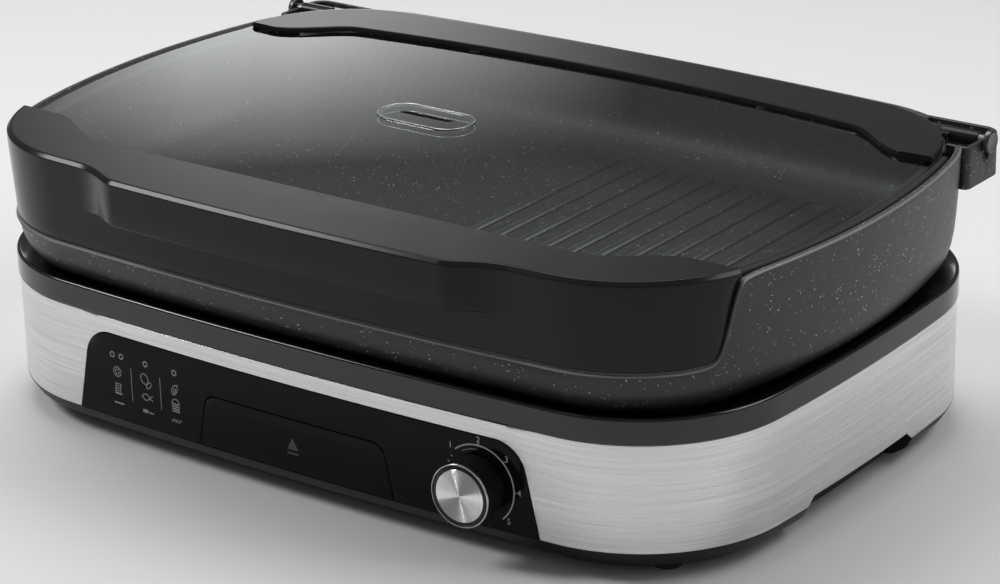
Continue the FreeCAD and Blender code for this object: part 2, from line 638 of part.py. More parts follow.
def front_cut(inset, z_low):
    """What is open at the front of the pan: a slanted end at each side, with a round lower corner."""
    low, high = cut_low_y + inset, cut_top_y + inset
    tilt = (low - high) / (z_rim - z_front)
    z_high = z_rim + s.overrun
    y_high = high - tilt * s.overrun
    return across([(-FAR, z_low), (-low, z_low), (-y_high, z_high), (-FAR, z_high)], [0, s.cut_round, 0, 0])


def grill_pan():
    """The cast pan: dished wall, ribbed floor, hinge ears, a low front and a drain spout."""
    outer = pan_plan.stack([(-s.foot_out_inset, z_foot), (-s.heel_inset, z_foot + s.heel_rise),
                            (-s.shin_inset, z_foot + s.shin_rise), (-s.calf_inset, z_foot + s.calf_rise),
                            (-s.knee_inset, z_foot + s.knee_rise), (-s.wall_inset, z_foot + s.wall_rise),
                            (0, z_rim - s.rim_drop), (-s.rim_round, z_rim)])
    hollow = pan_plan.stack([(-s.foot_in_inset, z_foot), (-s.hollow_inset, z_foot + s.hollow_rise),
                             (-s.hollow_top_inset, z_under)])
    inside = pan_plan.stack([(-s.floor_inset, z_floor), (-s.cove_inset, z_floor + s.cove_rise),
                             (-s.cove_top_inset, z_floor + s.cove_top_rise),
                             (-s.inner_inset, z_floor + s.inner_rise), (-s.rim_wall, z_ledge),
                             (-s.rim_wall, z_rim)])
    z_brace = z_ledge - s.ledge_height - s.ledge_reach
    ledge = pan_plan.slab(-s.rim_wall, z_brace, z_ledge).cut(
        pan_plan.stack([(-s.rim_wall, z_brace), (-s.rim_wall - s.ledge_reach, z_ledge - s.ledge_height),
                        (-s.rim_wall - s.ledge_reach, z_ledge)]))
    ledge = ledge.common(block(-FAR, FAR, -FAR, ledge_end, 0, z_rim))
    ribs = []
    for i in range(int(s.rib_count)):
        x = s.rib_first + i * s.rib_pitch
        ribs.append(block(x - s.rib_width / 2, x + s.rib_width / 2, -rib_half, rib_half,
                          z_floor - s.rib_height, z_floor + s.rib_height))
    drain = Vector(0, -drain_y, z_under - s.spout_length)
    spout = circle_solid(drain, UP, s.drain_radius + s.spout_wall, s.spout_length + s.pan_floor / 2)
    bore = circle_solid(drain, UP, s.drain_radius, s.spout_length + s.pan_floor + s.overrun)
    body = outer.fuse(pan_ears()).cut([inside, hollow])
    body = body.fuse([ledge, spout, *ribs]).cut([*ear_cuts(), front_cut(0, z_front), bore])
    return body.removeSplitter()


def trim_screw_places():
    """Places of the four screws that hold each trim."""
    front = [(fx * s.trim_screw_x, -trim_screw_front_y) for fx in (-1, 1)]
    rear = [(fx * s.trim_screw_x, trim_screw_rear_y) for fx in (-1, 1)]
    return front + rear


def trim_screw_holes(z_low, z_high):
    radius = s.trim_screw_radius + s.trim_screw_gap
    return [circle_solid(Vector(x, y, z_low), UP, radius, z_high - z_low) for x, y in trim_screw_places()]


def vent_slot(grow, z_low, z_high):
    """A long round-ended prism over the vent."""
    radius = s.vent_radius + grow
    reach = s.vent_half - s.vent_radius
    middle = block(s.vent_x - reach, s.vent_x + reach, s.vent_y - radius, s.vent_y + radius, z_low, z_high)
    ends = [circle_solid(Vector(s.vent_x + fx * reach, s.vent_y, z_low), UP, radius, z_high - z_low)
            for fx in (-1, 1)]
    return middle.fuse(ends).removeSplitter()


def lid_glass():
    """The flat pane, with the vent's slot and four screw holes."""
    pane = pan_plan.slab(-s.gasket_inner_inset - s.glass_gap, z_glass, z_pane)
    slot = vent_slot(s.fit_gap - s.vent_flange, z_glass - s.overrun, z_pane + s.overrun)
    return pane.cut([slot, *trim_screw_holes(z_glass - s.overrun, z_pane + s.overrun)])


def vent_rim():
    """The raised rim of the steam vent: a flange on the glass and a collar through it."""
    z_high = z_pane + s.vent_rise
    flange = vent_slot(0, z_pane, z_high)
    collar = vent_slot(-s.vent_flange, z_glass, z_pane)
    bore = vent_slot(-s.vent_flange - s.vent_wall, z_glass - s.overrun, z_high + s.overrun)
    return flange.fuse(collar).removeSplitter().cut(bore)


def lid_gasket():
    """The seal along the sides and front: a rim beside the glass and a lip under it."""
    inner = -s.gasket_inner_inset
    rim = pan_plan.slab(-s.gasket_outer_inset, z_gasket, z_gasket + s.gasket_height).cut(
        pan_plan.slab(inner, z_gasket, z_gasket + s.gasket_height))
    lip = pan_plan.slab(inner, z_gasket, z_glass).cut(
        pan_plan.slab(inner - s.gasket_lip_reach, z_gasket, z_glass))
    ring = rim.fuse(lip).removeSplitter()
    return ring.common(block(-FAR, FAR, -FAR, ledge_end, 0, z_top))


def trim_edge(lobe_x, lobe_y, straight_x, straight_y, middle_y, round_off, y_far):
    """The plan of a trim: a straight inner edge between two deeper lobes, out to y_far."""
    points = [(-FAR, y_far), (-FAR, lobe_y), (-lobe_x, lobe_y), (-straight_x, straight_y), (0, middle_y),
              (straight_x, straight_y), (lobe_x, lobe_y), (FAR, lobe_y), (FAR, y_far)]
    large = FAR if middle_y != straight_y else 0
    radii = [0, 0, round_off, round_off, large, round_off, round_off, 0, 0]
    if large == 0:
        points.pop(4)
        radii.pop(4)
    return prism([Vector(x, y, 0) for x, y in points], radii, UP * (z_top + s.overrun))


def front_trim():
    """The moulding at the front: a plate over the glass, a skirt down the front and the handle."""
    z_low = z_front + s.skirt_gap
    outer = pan_plan.stack([(-s.skirt_low_inset, z_low), (0, z_rim - s.rim_drop),
                            (0, z_top - s.trim_bevel_down), (-s.trim_bevel_in, z_top)])
    room = pan_plan.stack([(-s.skirt_low_inset - s.skirt_wall, z_low), (-s.skirt_wall, z_rim - s.rim_drop),
                           (-s.skirt_wall, z_trim)])
    z_handle = z_top - s.handle_height
    bar = pan_plan.slab(s.handle_reach, z_handle, z_top)
    y_handle = -pan_y - s.handle_reach
    side = [(s.handle_root_half, -handle_root_y), (s.handle_half, y_handle), (s.handle_half, -FAR)]
    corners = [Vector(x, y, z_handle) for x, y in side]
    corners += [Vector(-x, y, z_handle) for x, y in reversed(side)]
    bar = bar.common(prism(corners, [0] * len(corners), UP * s.handle_height)).cut(
        pan_plan.slab(-s.skirt_wall, z_handle, z_top))
    hollow = pan_plan.slab(s.handle_reach - s.handle_wall, z_handle + s.handle_wall, z_trim).common(
        block(-s.handle_half + s.handle_wall, s.handle_half - s.handle_wall, -FAR, -handle_root_y, 0, z_top))
    plan = trim_edge(trim_lobe_x, -trim_lobe_y, trim_straight_x, -trim_edge_y, -trim_edge_y,
                     s.trim_round, -FAR)
    body = outer.cut(room).common(plan).common(front_cut(s.skirt_gap, z_low - s.skirt_gap))
    body = body.fuse(bar).cut(hollow)
    return body.cut(trim_screw_holes(z_trim, z_top - s.front_trim_thick / 3)).removeSplitter()


def rear_trim():
    """The moulding at the rear: a raised plate over the glass and a hinge barrel at each end."""
    z_high = z_trim + s.rear_trim_thick
    plate = pan_plan.stack([(-s.rear_trim_inset, z_trim), (-s.rear_trim_inset, z_high - s.rear_chamfer),
                            (-s.rear_trim_inset - s.rear_chamfer, z_high)])
    plan = trim_edge(rear_lobe_x, rear_lobe_y, rear_end_x, rear_end_y, rear_mid_y, s.rear_round, FAR)
    body = plate.common(plan)
    lug = block(lug_inner, lug_outer, lug_front, lug_rear, z_trim, z_high)
    along = Vector(1, 0, 0)
    barrel = circle_solid(Vector(barrel_start, hinge_y, z_hinge), along, s.barrel_radius,
                          barrel_end - barrel_start)
    right = lug.fuse(barrel)
    bore = circle_solid(Vector(barrel_end - s.hinge_pin_depth, hinge_y, z_hinge), along,
                        s.hinge_pin_radius + s.barrel_bore_gap, s.hinge_pin_depth)
    body = body.fuse([right, mirrored_x(right)]).cut([bore, mirrored_x(bore)])
    return body.cut(trim_screw_holes(z_trim, z_high - s.rear_trim_thick / 2)).removeSplitter()


def hinge_pins():
    """A pin at each end of the lid's axis: a shank in the barrel, a neck in the ear's slot and a head."""
    along = Vector(1, 0, 0)
    x_shank = barrel_end - s.hinge_pin_depth
    shank = circle_solid(Vector(x_shank, hinge_y, z_hinge), along, s.hinge_pin_radius, s.hinge_pin_depth)
    neck = circle_solid(Vector(barrel_end, hinge_y, z_hinge), along, s.neck_radius,
                        pin_head_start - barrel_end)
    head = circle_solid(Vector(pin_head_start, hinge_y, z_hinge), along, s.pin_head_radius, s.pin_head_thick)
    right = shank.fuse([neck, head]).removeSplitter()
    return Part.makeCompound([right, mirrored_x(right)])


def trim_screws():
    """Four screws up through the glass into the trims."""
    screws = []
    for x, y in trim_screw_places():
        head = circle_solid(Vector(x, y, z_glass - s.trim_screw_head_height), UP, s.trim_screw_head,
                            s.trim_screw_head_height)
        shank = circle_solid(Vector(x, y, z_glass), UP, s.trim_screw_radius,
                             s.glass_thick + s.trim_gap + s.front_trim_thick / 2)
        screws.append(head.fuse(shank).removeSplitter())
    return Part.makeCompound(screws)


def box(name, size, place):
    """A box whose lengths and corner are expressions over the sheet."""
    piece = doc.addObject("Part::Box", name)
    for field, text in zip(("Length", "Width", "Height"), size):
        piece.setExpression(field, text)
    for axis, text in zip("xyz", place):
        piece.setExpression(f"Placement.Base.{axis}", text)
    return piece


def cylinder(name, radius, height, place):
    """An upright cylinder whose sizes and foot are expressions over the sheet."""
    piece = doc.addObject("Part::Cylinder", name)
    piece.setExpression("Radius", radius)
    piece.setExpression("Height", height)
    for axis, text in zip("xyz", place):
        piece.setExpression(f"Placement.Base.{axis}", text)
    return piece


def join(kind, label, links):
    """A boolean or a group over earlier objects, kept under the label."""
    piece = doc.addObject(kind, label)
    piece.Label = label
    if kind == "Part::Cut":
        piece.Base, piece.Tool = links
    elif kind == "Part::Compound":
        piece.Links = links
    else:
        piece.Shapes = links
    return piece


def rubber_feet():
    """Four round feet under the corners of the lower shell."""
    corner = base_plan.corner_point(-s.foot_inset)
    feet = [circle_solid(Vector(fx * corner.x, fy * corner.y, 0), UP, s.foot_radius, s.foot_height)
            for fx in (-1, 1) for fy in (-1, 1)]
    return Part.makeCompound(feet)


def drip_tray():
    """The pulled-out tray: an open box with a lip that runs on the rails."""
    y_start = "dim.drawer_thick - dim.base_depth/2"
    z_low = "dim.foot_height + dim.lip_height + dim.tray_lift"
    outer = box("tray_outer", ("2*dim.tray_half", "dim.tray_length", "dim.tray_height"),
                ("-dim.tray_half", y_start, z_low))
    lip = box("tray_lip_block", ("2*(dim.tray_half + dim.tray_lip)", "dim.tray_length", "dim.tray_wall"),
              ("-dim.tray_half - dim.tray_lip", y_start, f"{z_low} + dim.tray_height - dim.tray_wall"))
    room = box("tray_room", ("2*(dim.tray_half - dim.tray_wall)", "dim.tray_length - 2*dim.tray_wall",
                             "dim.tray_height"),
               ("dim.tray_wall - dim.tray_half", f"{y_start} + dim.tray_wall", f"{z_low} + dim.tray_wall"))
    whole = join("Part::MultiFuse", "tray_whole", [outer, lip])
    return join("Part::Cut", "drip_tray", (whole, room))


def tray_rails():
    """Two upright guides under the tray's lip, standing on the bottom plate."""
    height = "dim.lip_height + dim.tray_lift + dim.tray_height - dim.tray_wall - dim.rail_gap"
    run = "dim.drawer_thick + dim.tray_length - dim.tub_opening_inset - 2*dim.rail_setback"
    size = ("dim.rail_thick", run, height)
    y_start = "dim.tub_opening_inset + dim.rail_setback - dim.base_depth/2"
    x_right = "dim.tray_half + (dim.tray_lip - dim.rail_thick)/2"
    left = box("rail_left", size, (f"-({x_right}) - dim.rail_thick", y_start, "dim.foot_height"))
    right = box("rail_right", size, (x_right, y_start, "dim.foot_height"))
    return join("Part::Compound", "tray_rails", [left, right])


def support_posts():
    """Four pillars from the bottom plate to the reflector."""
    height = ("dim.lip_height + dim.band_height + dim.ring_height - dim.dish_depth - dim.reflector_drop"
              " - dim.reflector_sheet")
    posts = []
    for i, (fx, fy) in enumerate((("-", "-"), ("", "-"), ("", ""), ("-", ""))):
        posts.append(cylinder(f"post_{i}", "dim.post_radius", height,
                              (f"{fx}(dim.base_width/2 - dim.post_side_inset)",
                               f"{fy}(dim.base_depth/2 - dim.post_inset)", "dim.foot_height")))
    return join("Part::Compound", "support_posts", posts)


def terminal_block():
    """The connector block inside the rear inlet."""
    case = box("block_case", ("dim.block_width", "dim.block_depth", "dim.block_height"),
               ("-dim.block_width/2", "dim.base_depth/2 - dim.block_inset", "dim.foot_height"))
    return join("Part::Compound", "terminal_block", [case])


def turned(label, points, placement):
    """A body of revolution: a closed sketch of (radius, height) expressions turned about its own axis."""
    body = doc.addObject("PartDesign::Body", label)
    body.Label = label
    plane = next(f for f in body.Origin.OriginFeatures if f.Role == "XZ_Plane")
    sketch = body.newObject("Sketcher::SketchObject", f"{label}_profile")
    sketch.AttachmentSupport = [(plane, "")]
    sketch.MapMode = "FlatFace"
    start = [Vector(*(float(doc.dim.evalExpression(text)) for text in point), 0) for point in points]
    count = len(points)
    for i in range(count):
        sketch.addGeometry(Part.LineSegment(start[i], start[(i + 1) % count]), False)
    for i in range(count):
        sketch.addConstraint(Sketcher.Constraint("Coincident", i, 2, (i + 1) % count, 1))
    for i, (radius, height) in enumerate(points):
        for kind, text in (("DistanceX", radius), ("DistanceY", height)):
            number = start[i].x if kind == "DistanceX" else start[i].y
            index = sketch.addConstraint(Sketcher.Constraint(kind, -1, 1, i, 1, number))
            sketch.setExpression(f"Constraints[{index}]", text)
    turn = body.newObject("PartDesign::Revolution", f"{label}_turn")
    turn.Profile = sketch
    turn.ReferenceAxis = (sketch, ["V_Axis"])
    turn.Angle = 360
    body.Placement = placement
    return body


def knob_body():
    """The black knob: a tapered skirt, a hub on the shaft and a flat front."""
    bore = "dim.shaft_radius + dim.knob_fit"
    end = "dim.shaft_reach + dim.knob_fit"
    inner = "dim.knob_skirt - dim.knob_wall"
    return turned("knob_body", [
        (bore, "dim.knob_hub_start"), ("dim.knob_hub", "dim.knob_hub_start"),
        ("dim.knob_hub", "dim.knob_hollow"), (inner, "dim.knob_hollow"), (inner, "dim.knob_gap"),
        ("dim.knob_skirt", "dim.knob_gap"),
        ("dim.knob_front", "dim.knob_body_reach"), ("0", "dim.knob_body_reach"), ("0", end), (bore, end),
    ], knob_frame)


def knob_ring():
    """The chrome ring round the knob's front edge."""
    back = "dim.knob_reach - dim.ring_band"
    inner = "dim.knob_skirt + dim.knob_fit"
    lip = "dim.knob_front - dim.ring_lip"
    seat = "dim.knob_body_reach + dim.knob_fit"
    return turned("knob_ring", [
        (inner, back), ("dim.knob_radius - dim.ring_bevel", back),
        ("dim.knob_radius", f"{back} + dim.ring_bevel"),
        ("dim.knob_radius", "dim.knob_reach - dim.ring_bevel"),
        ("dim.knob_radius - dim.ring_bevel", "dim.knob_reach"), (lip, "dim.knob_reach"), (lip, seat),
        (inner, seat),
    ], knob_frame)


def knob_face():
    """The spun disc inside the ring."""
    seat = "dim.knob_body_reach + dim.knob_fit"
    rim = "dim.knob_front - dim.ring_lip - dim.knob_fit"
    return turned("knob_face", [
        ("0", seat), (rim, seat), (rim, f"{seat} + dim.face_thick"), ("0", f"{seat} + dim.face_thick"),
    ], knob_frame)


def thermostat_shaft():
    """The shaft from inside the thermostat to the knob's hub."""
    return turned("thermostat_shaft", [
        ("0", "-dim.shaft_depth"), ("dim.shaft_radius", "-dim.shaft_depth"),
        ("dim.shaft_radius", "dim.shaft_reach"), ("0", "dim.shaft_reach"),
    ], knob_frame)


CODED = (steel_band, top_ring, base_tub, bottom_plate, plate_screws, rubber_feet, control_panel,
         drip_tray_front, reflector, heating_element, element_terminals, element_clips, thermostat,
         thermostat_screws, cord_gland, lead_neutral, lead_live, lead_switched, lead_fused, thermal_fuse,
         grill_pan, lid_glass, lid_gasket, vent_rim, front_trim, rear_trim, hinge_pins, trim_screws)
BOUND = (drip_tray, tray_rails, support_posts, terminal_block, knob_body, knob_ring, knob_face,
         thermostat_shaft)
ON_KNOB_AXIS = (thermostat, thermostat_screws)

pieces = []
for make in CODED:
    piece = put(make.__name__, make())
    if make in ON_KNOB_AXIS:
        piece.Placement = knob_frame
    pieces.append(piece)
for make in BOUND:
    pieces.append(make())
doc.recompute()

# The origin is the middle of the whole on the table: the knob or the handle is its front, the pan its rear.
knob_edge = knob_frame.multVec(Vector(s.ring_bevel - s.knob_radius, 0, s.knob_reach))
y_first = min(knob_edge.y, -pan_y - s.handle_reach)
middle = FreeCAD.Placement(Vector(0, -(y_first + pan_y) / 2, 0), FreeCAD.Rotation())
for piece in pieces:
    piece.Placement = middle.multiply(piece.Placement)
doc.recompute()

for thing in doc.Objects:
    if "Invalid" in thing.State or "Error" in thing.State:
        raise RuntimeError(f"{thing.Label}: {thing.State}")
os.makedirs("parts", exist_ok=True)
for piece in pieces:
    shape = piece.Shape
    if shape.isNull() or not shape.isValid() or shape.Volume <= 0:
        raise RuntimeError(f"{piece.Label}: bad shape")
    shape.exportStep(f"parts/{piece.Label}.step")
    print(f"{piece.Label}: {len(shape.Solids)} solids, {shape.Volume:.0f} mm3")
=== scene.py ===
# %% [markdown]
# A wide table grill stands on a pale studio floor. The CAD model comes in first, as a fixed frame in
# metres, and its boxes and joints give the places that the shells here are fitted to. The shells that
# show are worked out again as smooth surfaces, because a CAD mesh is made of flat triangles. Each rides
# on its own body.

# %% load the frame
import json
import math

import bmesh
import bpy
import numpy as np
from mathutils import Matrix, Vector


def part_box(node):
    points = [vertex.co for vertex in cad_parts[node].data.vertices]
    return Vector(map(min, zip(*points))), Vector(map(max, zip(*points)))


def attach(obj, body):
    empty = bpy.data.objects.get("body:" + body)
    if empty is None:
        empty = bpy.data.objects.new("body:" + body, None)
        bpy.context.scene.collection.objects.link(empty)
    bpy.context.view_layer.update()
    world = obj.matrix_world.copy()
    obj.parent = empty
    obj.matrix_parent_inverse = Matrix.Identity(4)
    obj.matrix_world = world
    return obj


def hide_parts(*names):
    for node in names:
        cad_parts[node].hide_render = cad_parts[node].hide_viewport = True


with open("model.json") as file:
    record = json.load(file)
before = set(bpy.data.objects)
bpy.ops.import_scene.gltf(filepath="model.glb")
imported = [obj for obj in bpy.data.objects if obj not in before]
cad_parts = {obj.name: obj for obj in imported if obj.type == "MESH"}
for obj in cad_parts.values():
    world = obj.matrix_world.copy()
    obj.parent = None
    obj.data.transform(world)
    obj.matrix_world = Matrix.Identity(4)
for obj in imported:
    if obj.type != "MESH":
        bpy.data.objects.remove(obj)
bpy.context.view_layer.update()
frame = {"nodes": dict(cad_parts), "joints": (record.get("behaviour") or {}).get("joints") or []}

MM = 0.001


def box_mm(node):
    """A node's lowest and highest corners at rest, in millimetres."""
    return [np.array(corner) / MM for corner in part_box(node)]


pan_low, pan_high = box_mm("grill_pan")
pane_low, pane_high = box_mm("lid_glass")
band_low, band_high = box_mm("steel_band")
ring_high = box_mm("top_ring")[1]
tub_low, tub_high = box_mm("base_tub")
trim_high = box_mm("front_trim")[1]
joints = {joint["name"]: joint for joint in frame["joints"]}
y_mid = (pane_low[1] + pane_high[1]) / 2

# %% [markdown]
# The base and the pan have the same kind of plan: a rectangle whose sides bow outwards and whose corners
# are round. A spline through points could draw it, but a spline's offset is not parallel to it. Here the
# edge is read by the direction that it faces, so an offset only adds to a radius, and walls keep their
# thickness.

# %% plans of the base and the pan
class Outline:
    """A bowed rectangle with round corners, as a function of the direction its edge faces.

    The point that faces angle a is an arc's centre plus the arc's radius times (cos a, sin a). The arc is the
    side bow, the corner or the front bow, whichever faces that way, and an offset is added to its radius.
    """

    def __init__(self, half_x, half_y, front_bow, side_bow, corner):
        self.front_bow, self.side_bow, self.corner = front_bow, side_bow, corner
        self.front = np.array([0, half_y - front_bow])
        self.side = np.array([half_x - side_bow, 0])
        gap = self.front - self.side
        span = np.hypot(*gap)
        along = ((side_bow - corner) ** 2 - (front_bow - corner) ** 2 + span ** 2) / (2 * span)
        away = math.sqrt((side_bow - corner) ** 2 - along ** 2)
        unit = gap / span
        self.centre = self.side + unit * along + np.array([-unit[1], unit[0]]) * away
        self.side_turn = math.atan2(*(self.centre - self.side)[::-1])
        self.front_turn = math.atan2(*(self.centre - self.front)[::-1])

    def at(self, angle, offset):
        """(x, y) of the edge that faces an angle, an offset outside the plan."""
        across, along = np.cos(angle), np.sin(angle)
        turn = np.arctan2(np.abs(along), np.abs(across))
        on_side, on_front = turn < self.side_turn, turn > self.front_turn
        centre_x = np.where(on_side, self.side[0], np.where(on_front, 0, self.centre[0]))
        centre_y = np.where(on_side, 0, np.where(on_front, self.front[1], self.centre[1]))
        radius = np.where(on_side, self.side_bow, np.where(on_front, self.front_bow, self.corner)) + offset
        x = np.where(across < 0, -1, 1) * (centre_x + radius * np.abs(across))
        y = np.where(along < 0, -1, 1) * (centre_y + radius * np.abs(along))
        return x, y + y_mid

    def spread(self, count):
        """Angles once round that stand evenly along the edge: angle against length run, read backwards."""
        turns = np.array([0, self.side_turn, self.front_turn, math.pi / 2])
        radii = np.array([self.side_bow, self.corner, self.front_bow])
        run = np.concatenate([[0], np.cumsum(radii * np.diff(turns))])
        whole = 2 * run[-1]
        angles = np.concatenate([turns, math.pi - turns[::-1], math.pi + turns, 2 * math.pi - turns[::-1]])
        runs = np.concatenate([run, whole - run[::-1], whole + run, 2 * whole - run[::-1]])
        return np.interp(np.arange(count) * 2 * whole / count, runs, angles)

    def facing_front(self, x):
        """The angle of the front bow's point at x."""
        return -math.pi / 2 + np.arcsin(np.asarray(x) / self.front_bow)

    def front_y(self, x):
        """Where the front face stands at x."""
        return y_mid - self.front[1] - np.sqrt(self.front_bow ** 2 - np.asarray(x) ** 2)

    def round_angles(self, count, extra=()):
        """Sorted angles once round, with extra ones where the detail is fine."""
        turns = np.concatenate([self.spread(count), np.ravel(extra)])
        return np.unique(np.round((turns + math.pi) % (2 * math.pi) - math.pi, 6))


base = Outline(band_high[0], (band_high[1] - band_low[1]) / 2, front_bow=2900, side_bow=1300, corner=90)
pan = Outline(pan_high[0], pan_high[1] - y_mid, front_bow=2600, side_bow=460, corner=88)
print("corner centres, mm:", np.round(base.centre, 1), np.round(pan.centre, 1))

# %% [markdown]
# Every new surface is a grid of points: rows along a path and columns round a profile. Modelling tools
# would build the same forms step by step, but an array can be checked and changed as a whole. The helpers
# below soften a profile's corners, turn a grid into faces, and carry a profile along a plan or about an
# axis.

# %% profiles and grids
RING = dict(loop_rows=True, loop_columns=True)
BAR = dict(loop_columns=True, capped=True)
NEARLY_UPRIGHT = 0.9


def smooth(t):
    """0 up to t = 0, 1 from t = 1, and 3t^2 - 2t^3 between."""
    t = np.clip(t, 0, 1)
    return t * t * (3 - 2 * t)


def soft_corners(points, reach, steps=5):
    """A closed profile whose corners are parabolas, from one reach before a corner to one reach after it."""
    points = np.array(points, float)
    reach = np.broadcast_to(reach, len(points))[:, None]
    back = np.roll(points, 1, axis=0) - points
    ahead = np.roll(points, -1, axis=0) - points
    start = points + back / np.linalg.norm(back, axis=1, keepdims=True) * reach
    end = points + ahead / np.linalg.norm(ahead, axis=1, keepdims=True) * reach
    t = np.linspace(0, 1, steps)[:, None, None]
    curve = (1 - t) ** 2 * start + 2 * t * (1 - t) * points + t ** 2 * end
    return curve.swapaxes(0, 1).reshape(-1, 2)


def grid(points, loop_rows=False, loop_columns=False, capped=False):
    """A rows x columns x 3 array as points, quads between neighbours and, if capped, flat ends."""
    rows, columns = points.shape[:2]
    row, column = np.meshgrid(np.arange(rows if loop_rows else rows - 1),
                              np.arange(columns if loop_columns else columns - 1), indexing="ij")
    below, beside = (row + 1) % rows, (column + 1) % columns
    quads = np.stack([row * columns + column, below * columns + column,
                      below * columns + beside, row * columns + beside], axis=-1).reshape(-1, 4)
    ends = [np.arange(columns), np.arange(columns) + (rows - 1) * columns] if capped else []
    return points.reshape(-1, 3), quads, ends


def sweep(outline, angles, offset, z, **closing):
    """A profile of offsets and heights carried along an outline."""
    shape = (len(angles), np.shape(offset)[-1])
    x, y = outline.at(angles[:, None], np.broadcast_to(offset, shape))
    return grid(np.stack([x, y, np.broadcast_to(z, shape)], axis=-1), **closing)


def turned(profile, foot, axis, count=96):
    """A profile of (radius, height) turned once about an axis through its foot."""
    axis = np.array(axis, float) / np.linalg.norm(axis)
    aside = np.cross(axis, [0, 0, 1] if abs(axis[2]) < NEARLY_UPRIGHT else [1, 0, 0])
    aside /= np.linalg.norm(aside)
    across = np.cross(axis, aside)
    turn = np.linspace(0, 2 * math.pi, count, endpoint=False)[:, None, None]
    radius, height = np.array(profile, float).T[:, None, :, None]
    points = np.array(foot) + axis * height + radius * (np.cos(turn) * aside + np.sin(turn) * across)
    return grid(points, loop_rows=True)


print("a square with soft corners has", len(soft_corners([(0, 0), (9, 0), (9, 9), (0, 9)], 1)), "points")

# %% [markdown]
# A finished piece is one object of one or more closed shells. Points that fall together at seams and
# poles are merged, so that each shell is closed and its normals can be turned outwards. It is shaded
# smooth, except over edges that are sharper than the crease angle.

# %% plates and finished pieces
MERGE = 2e-6


def pad(plan, z_low, z_high, round_off=0):
    """A plate of a plan outline (n x 2), whose top edge curves in by round_off towards the plan's middle."""
    middle = plan.mean(axis=0)
    size = np.abs(plan - middle).max()
    turn = np.linspace(0, math.pi / 2, 4 if round_off else 1)
    shrink = np.concatenate([[1], 1 - round_off / size * (1 - np.cos(turn))])
    z = np.concatenate([[z_low], z_high - round_off * (1 - np.sin(turn))])
    flat = middle + (plan - middle) * shrink[:, None, None]
    height = np.broadcast_to(z[:, None, None], flat.shape[:2] + (1,))
    return grid(np.concatenate([flat, height], axis=-1), **BAR)


def make_piece(name, shapes, body, finish, stands_for=(), crease=35, painted_highlight=None):
    """One object of closed shells: doubles merged, normals outwards, smooth except over the crease angle.

    The painted highlight says how much pale colour, painted in as a highlight, each point of the first shells
    takes, from 0 to 1, for a finish that reads it.
    """
    starts = np.cumsum([0] + [len(points) for points, _, _ in shapes])
    points = np.concatenate([points for points, _, _ in shapes]) * MM
    faces = []
    for start, (_, quads, ends) in zip(starts, shapes):
        faces += (quads + start).tolist() + [(end + start).tolist() for end in ends]
    mesh = bpy.data.meshes.new(name)
    mesh.from_pydata(points.tolist(), [], faces)
    if painted_highlight is not None:
        # painted highlight: a pale share for each point, which the coat paints as a lighter grey
        pale_share = np.zeros(len(points), np.float32)
        pale_share[:painted_highlight.size] = painted_highlight
        mesh.attributes.new("painted_highlight", "FLOAT", "POINT").data.foreach_set("value", pale_share)
    work = bmesh.new()
    work.from_mesh(mesh)
    bmesh.ops.remove_doubles(work, verts=work.verts, dist=MERGE)
    bmesh.ops.recalc_face_normals(work, faces=work.faces)
    work.to_mesh(mesh)
    work.free()
    mesh.polygons.foreach_set("use_smooth", np.ones(len(mesh.polygons), bool))
    mesh.set_sharp_from_angle(angle=math.radians(crease))
    mesh.materials.append(finish)
    piece = bpy.data.objects.new(name, mesh)
    bpy.context.scene.collection.objects.link(piece)
    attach(piece, body)
    if stands_for:
        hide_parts(*stands_for)
    print(f"{name}: {len(mesh.vertices)} points, {len(mesh.polygons)} faces")


print("points closer than", MERGE / MM, "mm are merged")

# %% [markdown]
# Finishes are written as sums. One small class stands for a socket: adding or multiplying two of them
# adds a Math node, so a line of Python reads like the formula of the finish. All patterns read Object
# coordinates, which are metres here, so a scale of 1000 is one wave to a millimetre.

# %% shader sums
class Value:
    """A socket of a material, with arithmetic that adds Math nodes."""

    def __init__(self, tree, socket=None):
        self.tree, self.socket = tree, socket

    def node(self, kind, settings=None, sockets=None, output=0):
        """Adds a node, sets its settings, then its sockets, and returns one of its outputs."""
        made = self.tree.nodes.new("ShaderNode" + kind)
        for name, setting in (settings or {}).items():
            setattr(made, name, setting)
        for name, value in (sockets or {}).items():
            if isinstance(value, Value):
                self.tree.links.new(value.socket, made.inputs[name])
            else:
                made.inputs[name].default_value = value
        return Value(self.tree, made.outputs[output])

    def maths(self, operation, first, second=0.0):
        """A Math node of two values."""
        return self.node("Math", {"operation": operation}, {0: first, 1: second})

    def __add__(self, other):
        return self.maths("ADD", self, other)

    def __radd__(self, other):
        return self.maths("ADD", other, self)

    def __sub__(self, other):
        return self.maths("SUBTRACT", self, other)

    def __rsub__(self, other):
        return self.maths("SUBTRACT", other, self)

    def __mul__(self, other):
        return self.maths("MULTIPLY", self, other)

    def __rmul__(self, other):
        return self.maths("MULTIPLY", other, self)

    def __pow__(self, other):
        return self.maths("POWER", self, other)

    def __gt__(self, other):
        return self.maths("GREATER_THAN", self, other)


print("sums of sockets:", [name for name in vars(Value) if name.startswith("__r")])


# %% patterns and shaders
def mixed(factor, first, second):
    """One colour where the factor is 0 and the other where it is 1."""
    return factor.node("Mix", {"data_type": "RGBA"}, {0: factor, 6: first, 7: second}, output=2)


def noise(place, scale, stretch=(1, 1, 1), detail=3.0):
    """Soft random waves from 0 to 1, stretched by a Mapping node."""
    mapped = place.node("Mapping", {}, {"Vector": place, "Scale": stretch})
    return place.node("TexNoise", {}, {"Vector": mapped, "Scale": scale, "Detail": detail})


def ramp(value, low, high):
    """0 where the value is low, 1 where it is high, and straight between."""
    return value.node("MapRange", {}, {"Value": value, "From Min": low, "From Max": high})


def bump(height, distance, strength=1.0):
    """A normal that follows a height, in millimetres of depth."""
    return height.node("Bump", {}, {"Height": height, "Distance": distance * MM, "Strength": strength})


